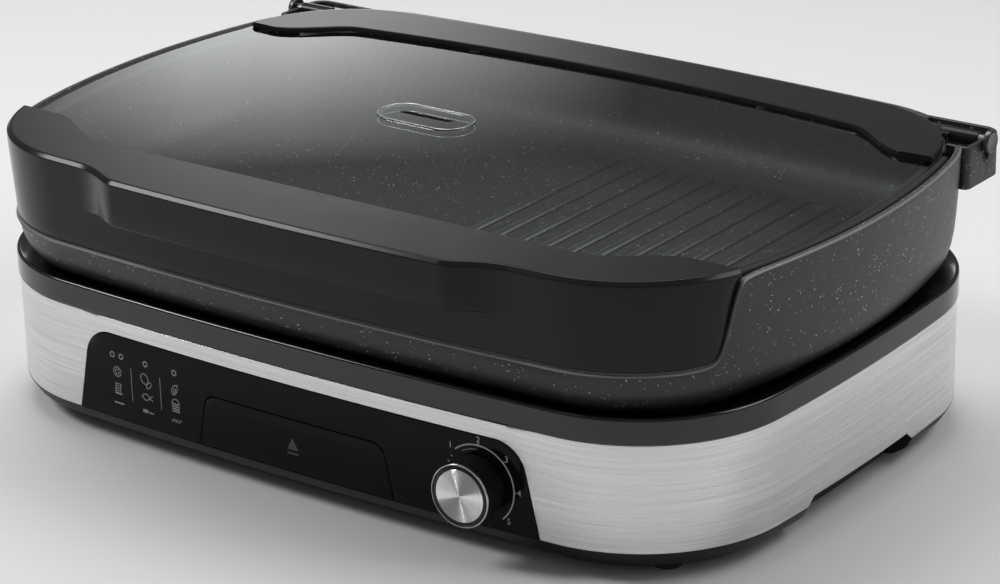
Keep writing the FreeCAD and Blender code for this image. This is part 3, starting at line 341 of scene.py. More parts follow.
def grey(level, warm=0.0):
    """A grey, with a little more red and less blue where it is warm."""
    return (level * (1 + warm), level, level * (1 - warm), 1)


def new_finish(name, constants):
    """A Principled material with its constant sockets set, its shader and its Object coordinates."""
    made = bpy.data.materials.new(name)
    made.use_nodes = True
    shader = made.node_tree.nodes["Principled BSDF"]
    for socket, value in constants.items():
        shader.inputs[socket].default_value = value
    place = Value(made.node_tree).node("TexCoord", output="Object")
    return made, shader, place


def feed(shader, links):
    """Links varying values to a shader's sockets."""
    for socket, value in links.items():
        value.tree.links.new(value.socket, shader.inputs[socket])


print("a warm grey:", grey(0.5, 0.04))

# %% [markdown]
# The band is brushed along its length and the knob's disc is spun, so their scratches run in lines and in
# rings. A scratch image would repeat and needs a file. Noise that is stretched along the brushing, or
# read along the distance from the axis, gives the same streaks at any size. The other metals only have a
# faint cloud of tone.

# %% metals
FINE_SCRATCH, BROAD_SCRATCH, FINE_SHARE, BROAD_SHARE = (14, 14, 5200), (5, 5, 420), 0.75, 0.25
RING_WAVES, CONTRAST, METAL_CLOUD = 5200.0, (0.3, 0.7), 60.0


def brushed_steel():
    """Long fine scratches along the band: noise that changes fast in height and slowly sideways."""
    made, shader, place = new_finish("brushed_steel", {"Metallic": 1.0, "Anisotropic": 0.35})
    fine = noise(place, 1.0, FINE_SCRATCH, 2.0)
    broad = noise(place, 1.0, BROAD_SCRATCH, 2.0)
    streak = FINE_SHARE * fine + BROAD_SHARE * broad
    pale_share = ramp(streak, *CONTRAST)
    feed(shader, {"Base Color": mixed(pale_share, grey(0.52, 0.005), grey(0.88, 0.008)),
                  "Roughness": 0.18 + 0.16 * pale_share,
                  "Normal": bump(streak, 0.02, 0.45)})
    return made


def spun_disc(axis_x, axis_z):
    """Rings turned into a disc: noise read along the distance from the knob's axis alone."""
    made, shader, place = new_finish("spun_disc", {"Metallic": 1.0})
    centred = place.node("Mapping", {}, {"Vector": place, "Location": (-axis_x, 0, -axis_z),
                                         "Scale": (1, 0, 1)})
    reach = place.node("VectorMath", {"operation": "LENGTH"}, {0: centred}, output="Value")
    rings = place.node("TexNoise", {"noise_dimensions": "1D"},
                       {"W": reach, "Scale": RING_WAVES, "Detail": 2.0})
    feed(shader, {"Base Color": mixed(ramp(rings, *CONTRAST), grey(0.76), grey(0.95)),
                  "Roughness": 0.16 + 0.08 * rings})
    return made


def plain_metal(name, dark, light, roughness, grain=900.0):
    """Rolled or plated metal: a faint cloud of tone and gloss."""
    made, shader, place = new_finish(name, {"Metallic": 1.0})
    cloud = noise(place, METAL_CLOUD)
    feed(shader, {"Base Color": mixed(cloud, grey(dark), grey(light)),
                  "Roughness": roughness - 0.05 + 0.1 * cloud,
                  "Normal": bump(noise(place, grain), 0.01, 0.3)})
    return made


knob_x, knob_y, knob_z = np.array(joints["knob_turn"]["pos_m"]) / MM
band_finish = brushed_steel()
disc_finish = spun_disc(knob_x * MM, knob_z * MM)
chrome_finish = plain_metal("knob_chrome", 0.44, 0.56, 0.20)
pin_finish = plain_metal("hinge_steel", 0.10, 0.16, 0.32)
zinc_finish = plain_metal("zinc_sheet", 0.50, 0.66, 0.36, 200.0)
bright_finish = plain_metal("bright_sheet", 0.70, 0.84, 0.22, 200.0)
element_finish = plain_metal("element_steel", 0.16, 0.28, 0.40)
screw_finish = plain_metal("screw_steel", 0.45, 0.60, 0.30)
print("first metals:", band_finish.name, disc_finish.name, chrome_finish.name)

# %% [markdown]
# Most of the rest is moulded: gloss black panel and ring, satin black lid mouldings, matt tub and rubber.
# They differ in tone, gloss and grain only, so one function makes them all, and the prints and wires as
# well.

# %% plastics, rubber and prints
PLASTIC_CLOUD, PLASTIC_GRAIN = 35.0, 2600.0


def moulded(name, dark, light, roughness, grain_depth, constants=None, warm=0.0):
    """Moulded plastic or rubber: a fine grain in the surface and a slow change of tone."""
    made, shader, place = new_finish(name, constants or {})
    cloud = noise(place, PLASTIC_CLOUD)
    grain = noise(place, PLASTIC_GRAIN)
    feed(shader, {"Base Color": mixed(cloud, grey(dark, warm), grey(light, warm)),
                  "Roughness": roughness - 0.05 + 0.06 * cloud + 0.06 * grain,
                  "Normal": bump(grain, grain_depth, 0.5)})
    return made


ring_finish = moulded("ring_gloss", 0.007, 0.010, 0.09, 0.001, {"Specular IOR Level": 0.6}, 0.04)
panel_finish = moulded("panel_gloss", 0.004, 0.006, 0.07, 0.001, {"Specular IOR Level": 0.10})
trim_finish = moulded("trim_satin", 0.012, 0.016, 0.17, 0.004, {"Specular IOR Level": 0.20})
tub_finish = moulded("black_plastic", 0.008, 0.012, 0.40, 0.03, {"Specular IOR Level": 0.25})
knob_finish = moulded("knob_black", 0.010, 0.014, 0.30, 0.01, {"Specular IOR Level": 0.35})
seal_finish = moulded("seal_rubber", 0.012, 0.018, 0.62, 0.04, {"Specular IOR Level": 0.3})
foot_finish = moulded("foot_rubber", 0.020, 0.030, 0.70, 0.05)
tray_finish = moulded("tray_plastic", 0.020, 0.028, 0.40, 0.03)
block_finish = moulded("block_white", 0.62, 0.70, 0.45, 0.02)
print_finish = moulded("panel_print", 0.40, 0.46, 0.40, 0.0)
icon_finish = moulded("icon_print", 0.22, 0.27, 0.40, 0.0)
dark_print_finish = moulded("drawer_print", 0.035, 0.045, 0.35, 0.0)
brown_finish = moulded("lead_brown", 0.10, 0.13, 0.45, 0.01, None, 0.55)
blue_finish = moulded("lead_blue", 0.10, 0.14, 0.45, 0.01, None, -0.75)
print("finishes so far:", len(bpy.data.materials))

# %% [markdown]
# The pan has a dark non-stick coat with pale flecks, and a pale painted highlight on the edges of its
# ribs and its rim. Flecks of mesh would be far too many. Random cells give round flecks of two sizes, a
# slow noise leaves most of them out, and the painted highlight is read from the mesh, where each point
# knows how much of it it takes.

# %% non-stick coat
SMALL_CELLS, LARGE_CELLS, SOME, FEW, COAT_GRAIN = 620.0, 330.0, 0.59, 0.60, 1500.0


def granite_coat():
    """A dark coat with sparse pale flecks: the cores of random cells, kept where a noise is high."""
    made, shader, place = new_finish("granite_coat", {})
    small = place.node("TexVoronoi", {"feature": "F1"}, {"Vector": place, "Scale": SMALL_CELLS})
    large = place.node("TexVoronoi", {"feature": "F1"}, {"Vector": place, "Scale": LARGE_CELLS})
    some = noise(place, 300.0) > SOME
    few = noise(place, 120.0) > FEW
    fleck = ramp(small, 0.24, 0.14) * some + ramp(large, 0.20, 0.12) * few
    grain = noise(place, COAT_GRAIN, detail=2.0)
    # painted highlight: the mesh's pale share, mixed in as a lighter grey where edges would catch the light
    painted_highlight = place.node("Attribute", {"attribute_name": "painted_highlight"}, output="Fac")
    coat = mixed(ramp(fleck, 0.0, 1.0), grey(0.024), grey(0.60))
    feed(shader, {"Base Color": mixed(painted_highlight * (0.5 + 0.7 * grain), coat, grey(0.34, 0.01)),
                  "Roughness": 0.34 + 0.14 * grain,
                  "Normal": bump(grain, 0.05, 0.6)})
    return made


coat_finish = granite_coat()
print("fleck cells of about", np.round([1 / MM / SMALL_CELLS, 1 / MM / LARGE_CELLS], 1), "mm")

# %% [markdown]
# The pane is thin flat glass, which shifts what is behind it too little to be seen. A refracting shader
# would darken the pan under it and leave noise. A clear shader mixed with a mirror by the angle of view
# is enough, and it lets the light through to the pan.

# %% glass
MIRROR, PANE_TINT = 0.04, (0.90, 0.92, 0.91, 1)


def clear_pane():
    """Flat glass: see-through face on and a mirror at a low angle.

    The mirror's share is a base share, plus the rest times (1 - cosine) to the fifth. Only the side that
    light enters by mirrors, because the other side of the pane would double it.
    """
    made = bpy.data.materials.new("clear_pane")
    made.use_nodes = True
    tree = made.node_tree
    tree.nodes.remove(tree.nodes["Principled BSDF"])
    start = Value(tree)
    through = start.node("BsdfTransparent", {}, {"Color": PANE_TINT})
    mirror = start.node("BsdfGlossy", {}, {"Color": (1, 1, 1, 1), "Roughness": 0.015})
    facing = start.node("LayerWeight", {}, {"Blend": 0.5}, output="Facing")
    leaving = start.node("NewGeometry", output="Backfacing")
    share = (MIRROR + (1 - MIRROR) * facing ** 5.0) * (1 - leaving)
    mix = start.node("MixShader", {}, {0: share, 1: through, 2: mirror})
    tree.links.new(mix.socket, tree.nodes["Material Output"].inputs["Surface"])
    return made


pane_finish = clear_pane()
print("finishes:", len(bpy.data.materials))

# %% [markdown]
# The base is a thin steel band between a dark ring and a black tub. The band has a window for the panel
# and a raised edge over each hand grip. Both could be cut with booleans, which leave ragged triangles.
# Here the band's lower edge is a function of the place along it, and the window is a flat top, an arc and
# a slant.

# %% a window's edge
def window_top(x, half_low, half_high, height, round_off):
    """Height of a window's edge over x: a flat top, then an arc, then a straight slanted side.

    The arc touches the top and the side, which gives the x of its middle and the x where it ends.
    """
    lean = half_low - half_high
    slant = math.hypot(lean, height)
    arc_x = half_low - (round_off * slant + (height - round_off) * lean) / height
    end_x = arc_x + round_off * height / slant
    x = np.abs(x)
    arc = height - round_off + np.sqrt(np.maximum(round_off ** 2 - (x - arc_x) ** 2, 0))
    side = (half_low - x) * height / lean
    return np.where(x < arc_x, height, np.where(x < end_x, arc, np.maximum(side, 0)))


PANEL = dict(half_low=163, half_high=151.5, height=52, round_off=20)
DRAWER = dict(half_low=69, half_high=63, height=32, round_off=9)
print("panel's edge at x of 0, 145 and 160, mm:", np.round(window_top([0, 145, 160], **PANEL), 1))

# %% steel band
SHEET, EASE, FACING = 0.8, 0.15, 0.9
GRIP_FRONT, GRIP_REAR, GRIP_SLOPE, GRIP_NOTCH, GRIP_NEAR = -58, 52, 6, 5, 9
FINE_FROM, FINE_TO = 124, 166
z_band, z_ring = band_low[2], band_high[2]

fine_x = np.linspace(FINE_FROM, FINE_TO, 170)
fine_front = base.facing_front(np.concatenate([fine_x, -fine_x]))
grip_turn = base.spread(2400)
side_y = base.at(grip_turn, 0)[1] - y_mid
fine_grip = grip_turn[(np.abs(side_y - GRIP_FRONT) < GRIP_NEAR) | (np.abs(side_y - GRIP_REAR) < GRIP_NEAR)]
band_turn = base.round_angles(360, np.concatenate([fine_front, fine_grip]))
band_x, band_y = base.at(band_turn, 0)
in_front = np.sin(band_turn) < -FACING
at_side = np.abs(np.cos(band_turn)) > FACING
notch = np.minimum(band_y - y_mid - GRIP_FRONT, GRIP_REAR - (band_y - y_mid)) / GRIP_SLOPE
low_edge = z_band + np.where(in_front, window_top(band_x, **PANEL), 0)
low_edge += np.where(at_side, GRIP_NOTCH * np.clip(notch, 0, 1), 0)
share = np.array([0, 0.02, 0.25, 0.5, 0.75, 0.98, 1, 1, 0.5, 0])
depth = np.array([-EASE, 0, 0, 0, 0, 0, -EASE, -SHEET, -SHEET, -SHEET])
band_z = low_edge[:, None] + (z_ring - low_edge)[:, None] * share
make_piece("steel_band_shell", [sweep(base, band_turn, depth, band_z, **RING)],
           "base", band_finish, ["steel_band"])

# %% [markdown]
# The control panel is a gloss black plate in the band's window, and the drip tray's front fills an
# opening in it. A curved sheet with holes would do, but its edges would have no round to catch the light.
# Each plate is a strip instead: at every x it runs from a lower to an upper edge, and its front edges are
# eased.

# %% control panel and drawer front
GAP, DRAWER_GAP, END_GAP, SLIVER = 0.3, 0.5, 0.1, 0.01
PANEL_THICK, DRAWER_THICK, FRONT_ROUND, FINE_END = 3, 5.5, 0.35, 42


def window_edge(x, window, gap=0.0):
    """Height of a window's edge above the floor, drawn in by a gap at its sides and its top."""
    return z_band + window_top(np.abs(x) + gap, **window) - gap


def front_strip(window, gap, thick, hole=None):
    """A bowed plate that fills a window up to a gap, above another window's edge where there is a hole.

    A point's height is the lower edge plus a share of the span, and the front corners move in by the round.
    """
    half = window["half_low"] - gap - END_GAP
    ends = np.linspace(half - FINE_END, half, 170)
    x = np.unique(np.concatenate([np.linspace(-half, half, 240), ends, -ends]))
    bottom = np.full_like(x, z_band + gap)
    if hole:
        bottom = np.maximum(window_edge(x, hole), bottom)
    span = (np.maximum(window_edge(x, window, gap), bottom + SLIVER) - bottom)[:, None]
    share = np.array([0, 0, 0, 0.25, 0.5, 0.75, 1, 1, 1, 1, 0])
    inward = np.array([0, 0.3, 1, 0, 0, 0, -1, -0.3, 0, 0, 0])
    z = bottom[:, None] + span * share + inward * np.minimum(FRONT_ROUND, span / 4)
    part_round = FRONT_ROUND * 0.3
    depth = np.array([FRONT_ROUND, part_round, 0, 0, 0, 0, 0, part_round, FRONT_ROUND, thick, thick])
    y = base.front_y(x)[:, None] + depth
    return grid(np.stack([np.broadcast_to(x[:, None], z.shape), y, z], axis=-1), **BAR)


make_piece("control_panel_face", [front_strip(PANEL, GAP, PANEL_THICK, DRAWER)],
           "base", panel_finish, ["control_panel"])
make_piece("drawer_face", [front_strip(DRAWER, DRAWER_GAP, DRAWER_THICK)],
           "drip_tray", panel_finish, ["drip_tray_front"])

# %% [markdown]
# The top ring is the dark gloss frame on the band, dished towards the pan. A bevelled plate would look
# right from afar, but the thin bright line along its outer edge comes from a round of about two
# millimetres. So its section is drawn corner by corner, each corner with its own softness, and carried
# round the base.

# %% top ring
EDGE_IN, SLOPE_IN, RING_IN, RING_WALL, RING_SKIN = 1.2, 16, 36, 4, 5
SEAT_DEEP, RING_THICK = 5.9, 3.5
z_edge = ring_high[2]
z_seat = z_edge - SEAT_DEEP
z_hollow = z_seat - RING_THICK
ring_corners = np.array([(-0.4, z_ring, 0.2), (1, z_ring + 1.2, 0.5), (1, z_edge, 1.9),
                         (-EDGE_IN, z_edge, 0.5), (-SLOPE_IN, z_seat, 5), (-RING_IN, z_seat, 1),
                         (-RING_IN, z_ring, 0.3), (RING_WALL - RING_IN, z_ring, 0.3),
                         (RING_WALL - RING_IN, z_hollow, 1), (-RING_SKIN, z_hollow, 1),
                         (-RING_SKIN, z_ring, 0.3)])
ring_out, ring_rise = soft_corners(ring_corners[:, :2], ring_corners[:, 2], 9).T
make_piece("top_ring_frame", [sweep(base, base.round_angles(420), ring_out, ring_rise, **RING)],
           "base", ring_finish, ["top_ring"])

# %% [markdown]
# A black tub closes the base. It shows as the lip under the band, and it steps back at both sides to
# leave room for the fingers. The steps could be modelled by hand; here they are switches in the profile,
# which keeps the lip, the wall and the floor one closed shell.

# %% lower shell
TUB_WALL, TUB_FLOOR, TUB_GAP, TUB_FOOT, OPENING = 2.6, 3, 0.2, 12, 46
GRIP_DEEP, GRIP_TALL, PANEL_ROOM = 17, 20, 6
z_tub = tub_low[2]
tub_turn = base.round_angles(360, np.concatenate([fine_grip, fine_front]))
tub_x, tub_y = base.at(tub_turn, 0)
grip = (np.abs(np.cos(tub_turn)) > FACING) & (tub_y - y_mid > GRIP_FRONT) & (tub_y - y_mid < GRIP_REAR)
behind_panel = (np.sin(tub_turn) < -FACING) & (np.abs(tub_x) < PANEL["half_low"] + PANEL_ROOM)
lip_inset = np.array([-14, -12.6, -6.5, -4.4, -3.4, -1, -0.1, 0])
lip_rise = np.array([0, 0.4, 4.3, 5.9, 6.9, 11, 12.6, 13])
lip_out = np.where(grip[:, None], -GRIP_DEEP, lip_inset)
lip_z = np.where(grip[:, None], z_tub + GRIP_TALL * np.linspace(0, 1, len(lip_rise)), z_tub + lip_rise)

outside = -SHEET - TUB_GAP
inside = outside - TUB_WALL
wall_out = np.tile([outside, outside, inside, inside, 0, -OPENING, -OPENING], (len(tub_turn), 1))
wall_out[:, 4] = np.where(grip, -GRIP_DEEP - TUB_FLOOR, inside - TUB_FOOT)
wall_low = np.where(grip, z_tub + GRIP_TALL, z_band)[:, None]
wall_top = np.where(behind_panel, z_band + TUB_GAP, tub_high[2])[:, None]
floor_heights = np.tile([z_tub + TUB_FLOOR, z_tub + TUB_FLOOR, z_tub], (len(tub_turn), 1))
inside_low = np.minimum(wall_low + TUB_FLOOR, wall_top)
wall_z = np.concatenate([wall_low, wall_top, wall_top, inside_low, floor_heights], axis=1)
make_piece("base_tub_shell", [sweep(base, tub_turn, np.concatenate([lip_out, wall_out], axis=1),
                                    np.concatenate([lip_z, wall_z], axis=1), **RING)],
           "base", tub_finish, ["base_tub"])

# %% [markdown]
# The pan is one casting. Its wall curves in towards the foot, so its section is a straight taper plus a
# fading exponential, and the floor runs in from the wall to the round drain. The rim is cut low at the
# front, where the lid's skirt hangs, and notched for the hinge at the rear. Both are functions of the
# place along the rim.

# %% heights and sections of the pan
FOOT_GAP, HOLLOW, FLOOR_RISE, CURB = 0.3, 18.2, 23.2, 6.5
CUT_LOW, CUT_SLOPE, CUT_SOFT, CUT_TOP = -121.5, 5.5, 18, 14
OUT_CURVE, OUT_FADE, OUT_TAPER, OUT_TALL = 18.4, 8.4, 3.6, 75
IN_CURVE, IN_FADE, IN_FOOT, IN_TAPER = 13.8, 11, 8.2, 0.0776
z_foot = z_seat + FOOT_GAP
z_under, z_floor = z_foot + HOLLOW, z_foot + FLOOR_RISE
z_front = z_floor + CURB
z_rim = pan_high[2]


def outer_inset(z):
    """How far the outer wall stands in: a curve that fades with height, plus a straight taper to nothing."""
    rise = z - z_foot
    return OUT_CURVE * np.exp(-rise / OUT_FADE) + OUT_TAPER * np.maximum(1 - rise / OUT_TALL, 0)


def inner_inset(z):
    """How far the inner wall stands in: a curve that fades with height, plus a slow straight taper."""
    rise = z - z_floor
    return IN_CURVE * np.exp(-rise / IN_FADE) + IN_FOOT - IN_TAPER * rise


def cut_edge(y, low):
    """The front cut's lower edge: level at the front, then a slope, with a soft bend between them."""
    d = CUT_SLOPE * (y - y_mid - CUT_LOW)
    return low + (d + np.sqrt(d * d + CUT_SOFT ** 2)) / 2


def below_rim(z):
    """The lower of a height and the rim, with a soft bend where the two meet."""
    return (z + z_rim - np.sqrt((z - z_rim) ** 2 + CUT_TOP ** 2)) / 2


print("pan's floor, front and rim, mm:", np.round([z_floor, z_front, z_rim], 1))

# %% wall of the pan
POCKET_X, POCKET_Y, POCKET_DEEP = 205, 127, 13.5
CUT_BEAD, BEAD_RISE, BEAD_REACH = 0.9, 4, 2.2
RIM_INSET, RIM_ROUND, OUT_DROP, IN_DROP = 2, 1.5, 1.8, 1.2
# columns stand closer where the front cut rises and round the ears
corner_run = np.linspace(20, 62, 90)
end_turn = np.arctan2(corner_run, np.sqrt(pan.corner ** 2 - corner_run ** 2))
ear_turn = np.linspace(0.4, 1.2, 120)
fine_turn = np.concatenate([-end_turn, math.pi + end_turn, ear_turn, math.pi - ear_turn])
pan_turn = pan.round_angles(480, fine_turn)
rim_x, rim_y = pan.at(pan_turn, -RIM_INSET)
rim_top = np.where(rim_y < y_mid, below_rim(cut_edge(rim_y, z_front)), z_rim)
in_pocket = (np.abs(rim_x) > POCKET_X) & (rim_y - y_mid > POCKET_Y)
rim_top = np.where(in_pocket, z_rim - POCKET_DEEP, rim_top)[:, None]
# shares of the wall's height, outside and inside, closer towards the foot where the wall curves
up = np.array([0, 0.02, 0.05, 0.09, 0.14, 0.2, 0.28, 0.38, 0.5, 0.62, 0.75, 0.88, 0.96])
down = np.array([1, 0.8, 0.6, 0.45, 0.32, 0.22, 0.15, 0.1, 0.06, 0.03, 0.0])
bend = np.linspace(0, math.pi, 9)
out_z = z_foot + (rim_top - OUT_DROP - z_foot) * up
in_z = z_floor + (rim_top - IN_DROP - z_floor) * down
bead = CUT_BEAD * smooth((z_rim - rim_top) / BEAD_RISE)
rim_out, rim_in = outer_inset(rim_top) - bead, inner_inset(rim_top)
over = rim_out + (rim_in - rim_out) * (1 - np.cos(bend)) / 2
over_z = rim_top - RIM_ROUND * (1 - np.sin(bend)) ** 1.5
flare = bead * np.exp(-((rim_top - RIM_ROUND - out_z) / BEAD_REACH) ** 2)
wall = np.concatenate([outer_inset(out_z) - flare, over, inner_inset(in_z)], axis=1)
wall_height = np.concatenate([out_z, over_z, in_z], axis=1)
wall_x, wall_y = pan.at(pan_turn[:, None], -wall)
print("wall:", wall_x.shape, "points, rim from", np.round(rim_top.min(), 1), "to", np.round(rim_top.max(), 1))

# %% floor, drain and underside of the pan
DRAIN_Y, DRAIN_R, SPOUT_WALL, DRAIN_EASE, DRAIN_DEEP = -120, 6, 3, 0.6, 2
ring = np.stack([np.cos(pan_turn), np.sin(pan_turn)], axis=-1)[:, None, :]
drain = np.array([0, DRAIN_Y + y_mid])
blend = np.array([0.15, 0.35, 0.6, 0.85, 1])[None, :, None]
edge = np.concatenate([wall_x[:, -1:], wall_y[:, -1:]], axis=1)[:, None, :]
floor = edge * (1 - blend) + (drain + DRAIN_R * ring) * blend
floor_z = np.array([z_floor, z_floor, z_floor, z_floor, z_floor - DRAIN_EASE])
spout_r = np.array([DRAIN_R, DRAIN_R, DRAIN_R + SPOUT_WALL, DRAIN_R + SPOUT_WALL])[None, :, None]
spout = drain + spout_r * ring
spout_z = np.array([z_floor - DRAIN_DEEP, pan_low[2], pan_low[2], z_under])
# the hollow underside, as (offset from the plan, height), out to the foot and back
under = np.array([(-40, z_under), (-14, z_under), (-12.5, z_under - 2), (-15, z_foot + 10.2), (-28, z_foot),
                  (-24, z_foot)])
under_x, under_y = pan.at(pan_turn[:, None], under[:, 0])
pan_x = np.concatenate([wall_x, floor[..., 0], spout[..., 0], under_x], axis=1)
pan_y = np.concatenate([wall_y, floor[..., 1], spout[..., 1], under_y], axis=1)
pan_z = np.concatenate([wall_height] + [np.broadcast_to(z, (len(pan_turn), len(z)))
                                        for z in (floor_z, spout_z, under[:, 1])], axis=1)
bowl = grid(np.stack([pan_x, pan_y, pan_z], axis=-1), **RING)
# painted highlight: pale colour along the outer top edge of the rim
rim_painted_highlight = np.zeros(pan_x.shape)
rim_painted_highlight[:, len(up):len(up) + len(bend)] = [0, 1, 0.6, 0.2, 0, 0, 0, 0, 0]
print("bowl:", len(bowl[0]), "points")

# %% [markdown]
# Flat-topped ribs stand on the right half of the floor, and a pale highlight is painted on their edges
# towards the front.
# The ears at the rear are open pockets for the lid's pins. Ribs and ears are shells of their own that
# sink into the casting, because a cast joint is filled anyway and a boolean would only break the smooth
# grid.

# %% ribs
RIB_COUNT, RIB_PITCH, RIB_FIRST, RIB_HALF = 12, 16.8, 8, 132
RIB_WIDE, RIB_TALL, RIB_FLAT, RIB_SUNK, RIB_ROWS = 6.4, 1.6, 0.5, 0.4, 41
RIB_END, RIB_END_RUN, RIB_CROWD = 0.97, 0.03, 1.8
HIGHLIGHT_FRONT, HIGHLIGHT_REAR = 2.6, -1.4


def rib(x):
    """A flat-topped bar with round ends: a steep ellipse across, which an ellipse shrinks near both ends."""
    run = np.linspace(-1, 1, RIB_ROWS)
    run = np.sign(run) * (1 - (1 - np.abs(run)) ** RIB_CROWD)
    taper = np.sqrt(1 - np.clip((np.abs(run) - RIB_END) / RIB_END_RUN, 0, 1) ** 2)[:, None]
    turn = np.linspace(0, math.pi, 13)
    points_x = x + RIB_WIDE / 2 * np.sign(np.cos(turn)) * np.abs(np.cos(turn)) ** RIB_FLAT * taper
    points_y = np.broadcast_to((y_mid + RIB_HALF * run)[:, None], points_x.shape)
    points_z = z_floor - RIB_SUNK + (RIB_TALL + RIB_SUNK) * np.sin(turn) ** RIB_FLAT * taper
    return grid(np.stack([points_x, points_y, points_z], axis=-1), **BAR)


ribs = [rib(RIB_FIRST + RIB_PITCH * i) for i in range(RIB_COUNT)]
# painted highlight: pale colour on both top edges of each rib, fading out towards the rear
rib_edges = [0, 0.2, 0.8, 1, 0.8, 0.1, 0, 0.1, 0.8, 1, 0.8, 0.2, 0]
rib_fade = smooth(np.linspace(HIGHLIGHT_FRONT, HIGHLIGHT_REAR, RIB_ROWS))
rib_painted_highlight = np.tile(np.outer(rib_fade, rib_edges).ravel(), RIB_COUNT)
print("ribs:", RIB_COUNT, "of", RIB_WIDE, "by", RIB_TALL, "mm")

# %% hinge ears and the whole casting
EAR_X, EAR_FRONT, EAR_REAR, EAR_WALL, EAR_LOW = 250, 124, 165, 3, 25
EAR_ROUND, EAR_CORNER, EAR_ROOT, EAR_BACK = 8.5, 2, 236, [220, 206, 193]
SLOT_HALF, SLOT_EDGE = 3.9, 0.001
hinge_y, hinge_z = np.array(joints["lid_hinge"]["pos_m"])[1:] / MM


def ear(sign):
    """A wall round the hinge pocket, open at the top for the pin's neck, and the floor that it stands on.

    The wall's middle line is straight runs and two arcs. Each row sets its points aside along its normal.
    """
    mid = EAR_WALL / 2
    x_wall, y_near, y_far = EAR_X - mid, EAR_FRONT + mid, EAR_REAR - mid
    slot = hinge_y - y_mid
    in_slot = np.linspace(-1 + SLOT_EDGE, 1 - SLOT_EDGE, 15)
    beside_slot = [-1 - SLOT_EDGE, 1 + SLOT_EDGE]
    straight = np.unique(np.concatenate([np.linspace(y_near + EAR_CORNER, y_far - EAR_ROUND, 16),
                                         slot + SLOT_HALF * np.concatenate([in_slot, beside_slot])]))
    turn = np.linspace(0, math.pi / 2, 10)
    small = np.linspace(-math.pi / 2, 0, 5)[:-1]
    x = np.concatenate([[EAR_ROOT, x_wall - 2 * EAR_CORNER],
                        x_wall - EAR_CORNER + EAR_CORNER * np.cos(small), np.full(len(straight), x_wall),
                        x_wall - EAR_ROUND + EAR_ROUND * np.cos(turn), EAR_BACK])
    y = np.concatenate([[y_near, y_near], y_near + EAR_CORNER + EAR_CORNER * np.sin(small), straight,
                        y_far - EAR_ROUND + EAR_ROUND * np.sin(turn), [y_far, y_far, y_far]])
    face = np.concatenate([[-math.pi / 2] * 2, small, np.zeros(len(straight)), turn, [math.pi / 2] * 3])
    dip = z_rim - POCKET_DEEP + SLOT_HALF - np.sqrt(np.maximum(SLOT_HALF ** 2 - (y - slot) ** 2, 0))
    top = np.where((np.abs(y - slot) < SLOT_HALF) & (x > x_wall - 0.1), dip, z_rim)[:, None]
    low = np.full_like(top, z_rim - EAR_LOW)
    aside = mid * np.array([1, 1, 0.9, 0.55, -0.55, -0.9, -1, -1])
    wall_at_x = sign * (x[:, None] + np.cos(face)[:, None] * aside)
    wall_at_y = y_mid + y[:, None] + np.sin(face)[:, None] * aside
    wall_at_z = np.concatenate([low, top + np.array([-0.9, -0.3, 0, 0, -0.3, -0.9]), low], axis=1)
    plan_x, plan_y = pan.at(np.linspace(1.2, 0.5, 24), -4)
    plan = np.stack([sign * np.concatenate([x[1:-1], plan_x]),
                     np.concatenate([y[1:-1] + y_mid, plan_y])], axis=-1)
    return [grid(np.stack([wall_at_x, wall_at_y, wall_at_z], axis=-1), **BAR),
            pad(plan, z_rim - EAR_LOW, z_rim - POCKET_DEEP)]


make_piece("grill_pan_casting", [bowl, *ribs, *ear(1), *ear(-1)], "pan", coat_finish,
           ["grill_pan"], painted_highlight=np.concatenate([rim_painted_highlight.ravel(), rib_painted_highlight]))

# %% [markdown]
# The lid is a flat pane between two satin mouldings. The front one is a plate over the glass that turns
# down into a skirt, and swells into a handle in the middle. Its section changes along the edge, so each
# row of the grid blends the plain section with the handle's by a weight that rises over the handle's
# ends.

# %% plan and weights of the front trim
FRONT_END, FRONT_FINE = math.radians(18.6), 15
HANDLE_HALF, HANDLE_ROOT, HANDLE_OUT, HANDLE_TALL, HANDLE_LATE = 112, 153, 10.5, 27, 1.4
BEVEL, BEVEL_EASE, END_TALL = 2.0, 0.4, 3
SKIRT_LEAN, SKIRT_WALL, SKIRT_GAP, SKIRT_SIDE, RIM_DROP = 2.9, 3.2, 0.8, 0.9, 2.2
PLATE_GAP = 0.2
z_plate, z_top = pane_high[2] + PLATE_GAP, trim_high[2]
z_straight, z_low = z_rim - RIM_DROP, z_front + SKIRT_GAP
z_bevel, z_handle = z_top - BEVEL - BEVEL_EASE, z_top - HANDLE_TALL

handle_x = np.linspace(HANDLE_HALF - 4, HANDLE_ROOT + 7, 100)
end_angles = FRONT_END + np.radians(np.linspace(0.1, FRONT_FINE, 100))
front_turn = pan.round_angles(620, [pan.facing_front(handle_x), pan.facing_front(-handle_x), -end_angles,
                                    end_angles - math.pi])
front_turn = front_turn[(front_turn > FRONT_END - math.pi) & (front_turn < -FRONT_END)]
front_x, front_y = pan.at(front_turn, 0)
along = np.clip((HANDLE_ROOT - np.abs(front_x)) / (HANDLE_ROOT - HANDLE_HALF), 0, 1)
swell = smooth(along ** HANDLE_LATE)[:, None]
reach = HANDLE_OUT * swell
skirt_low = below_rim(cut_edge(front_y + SKIRT_SIDE, z_low))[:, None]
squeeze = (z_bevel - np.minimum(skirt_low, z_bevel - END_TALL)) / (z_bevel - z_low)
print("front trim rows:", len(front_turn), "with handle:", int((swell > 0).sum()))

# %% section of the front trim
def skirt(z):
    """The skirt's offset: none above the pan's rim, then a straight lean inwards down to the lower edge."""
    return -SKIRT_LEAN * np.clip((z_straight - z) / (z_straight - z_low), 0, 1)


FACE_ROWS, SKIRT_ROWS = (160.0, 153.0), (139.0, 132.0, 125.0)
HEM = ((0.25, 0.4), (1.0, 0.0), (2.2, 0.0), (SKIRT_WALL, 0.8))
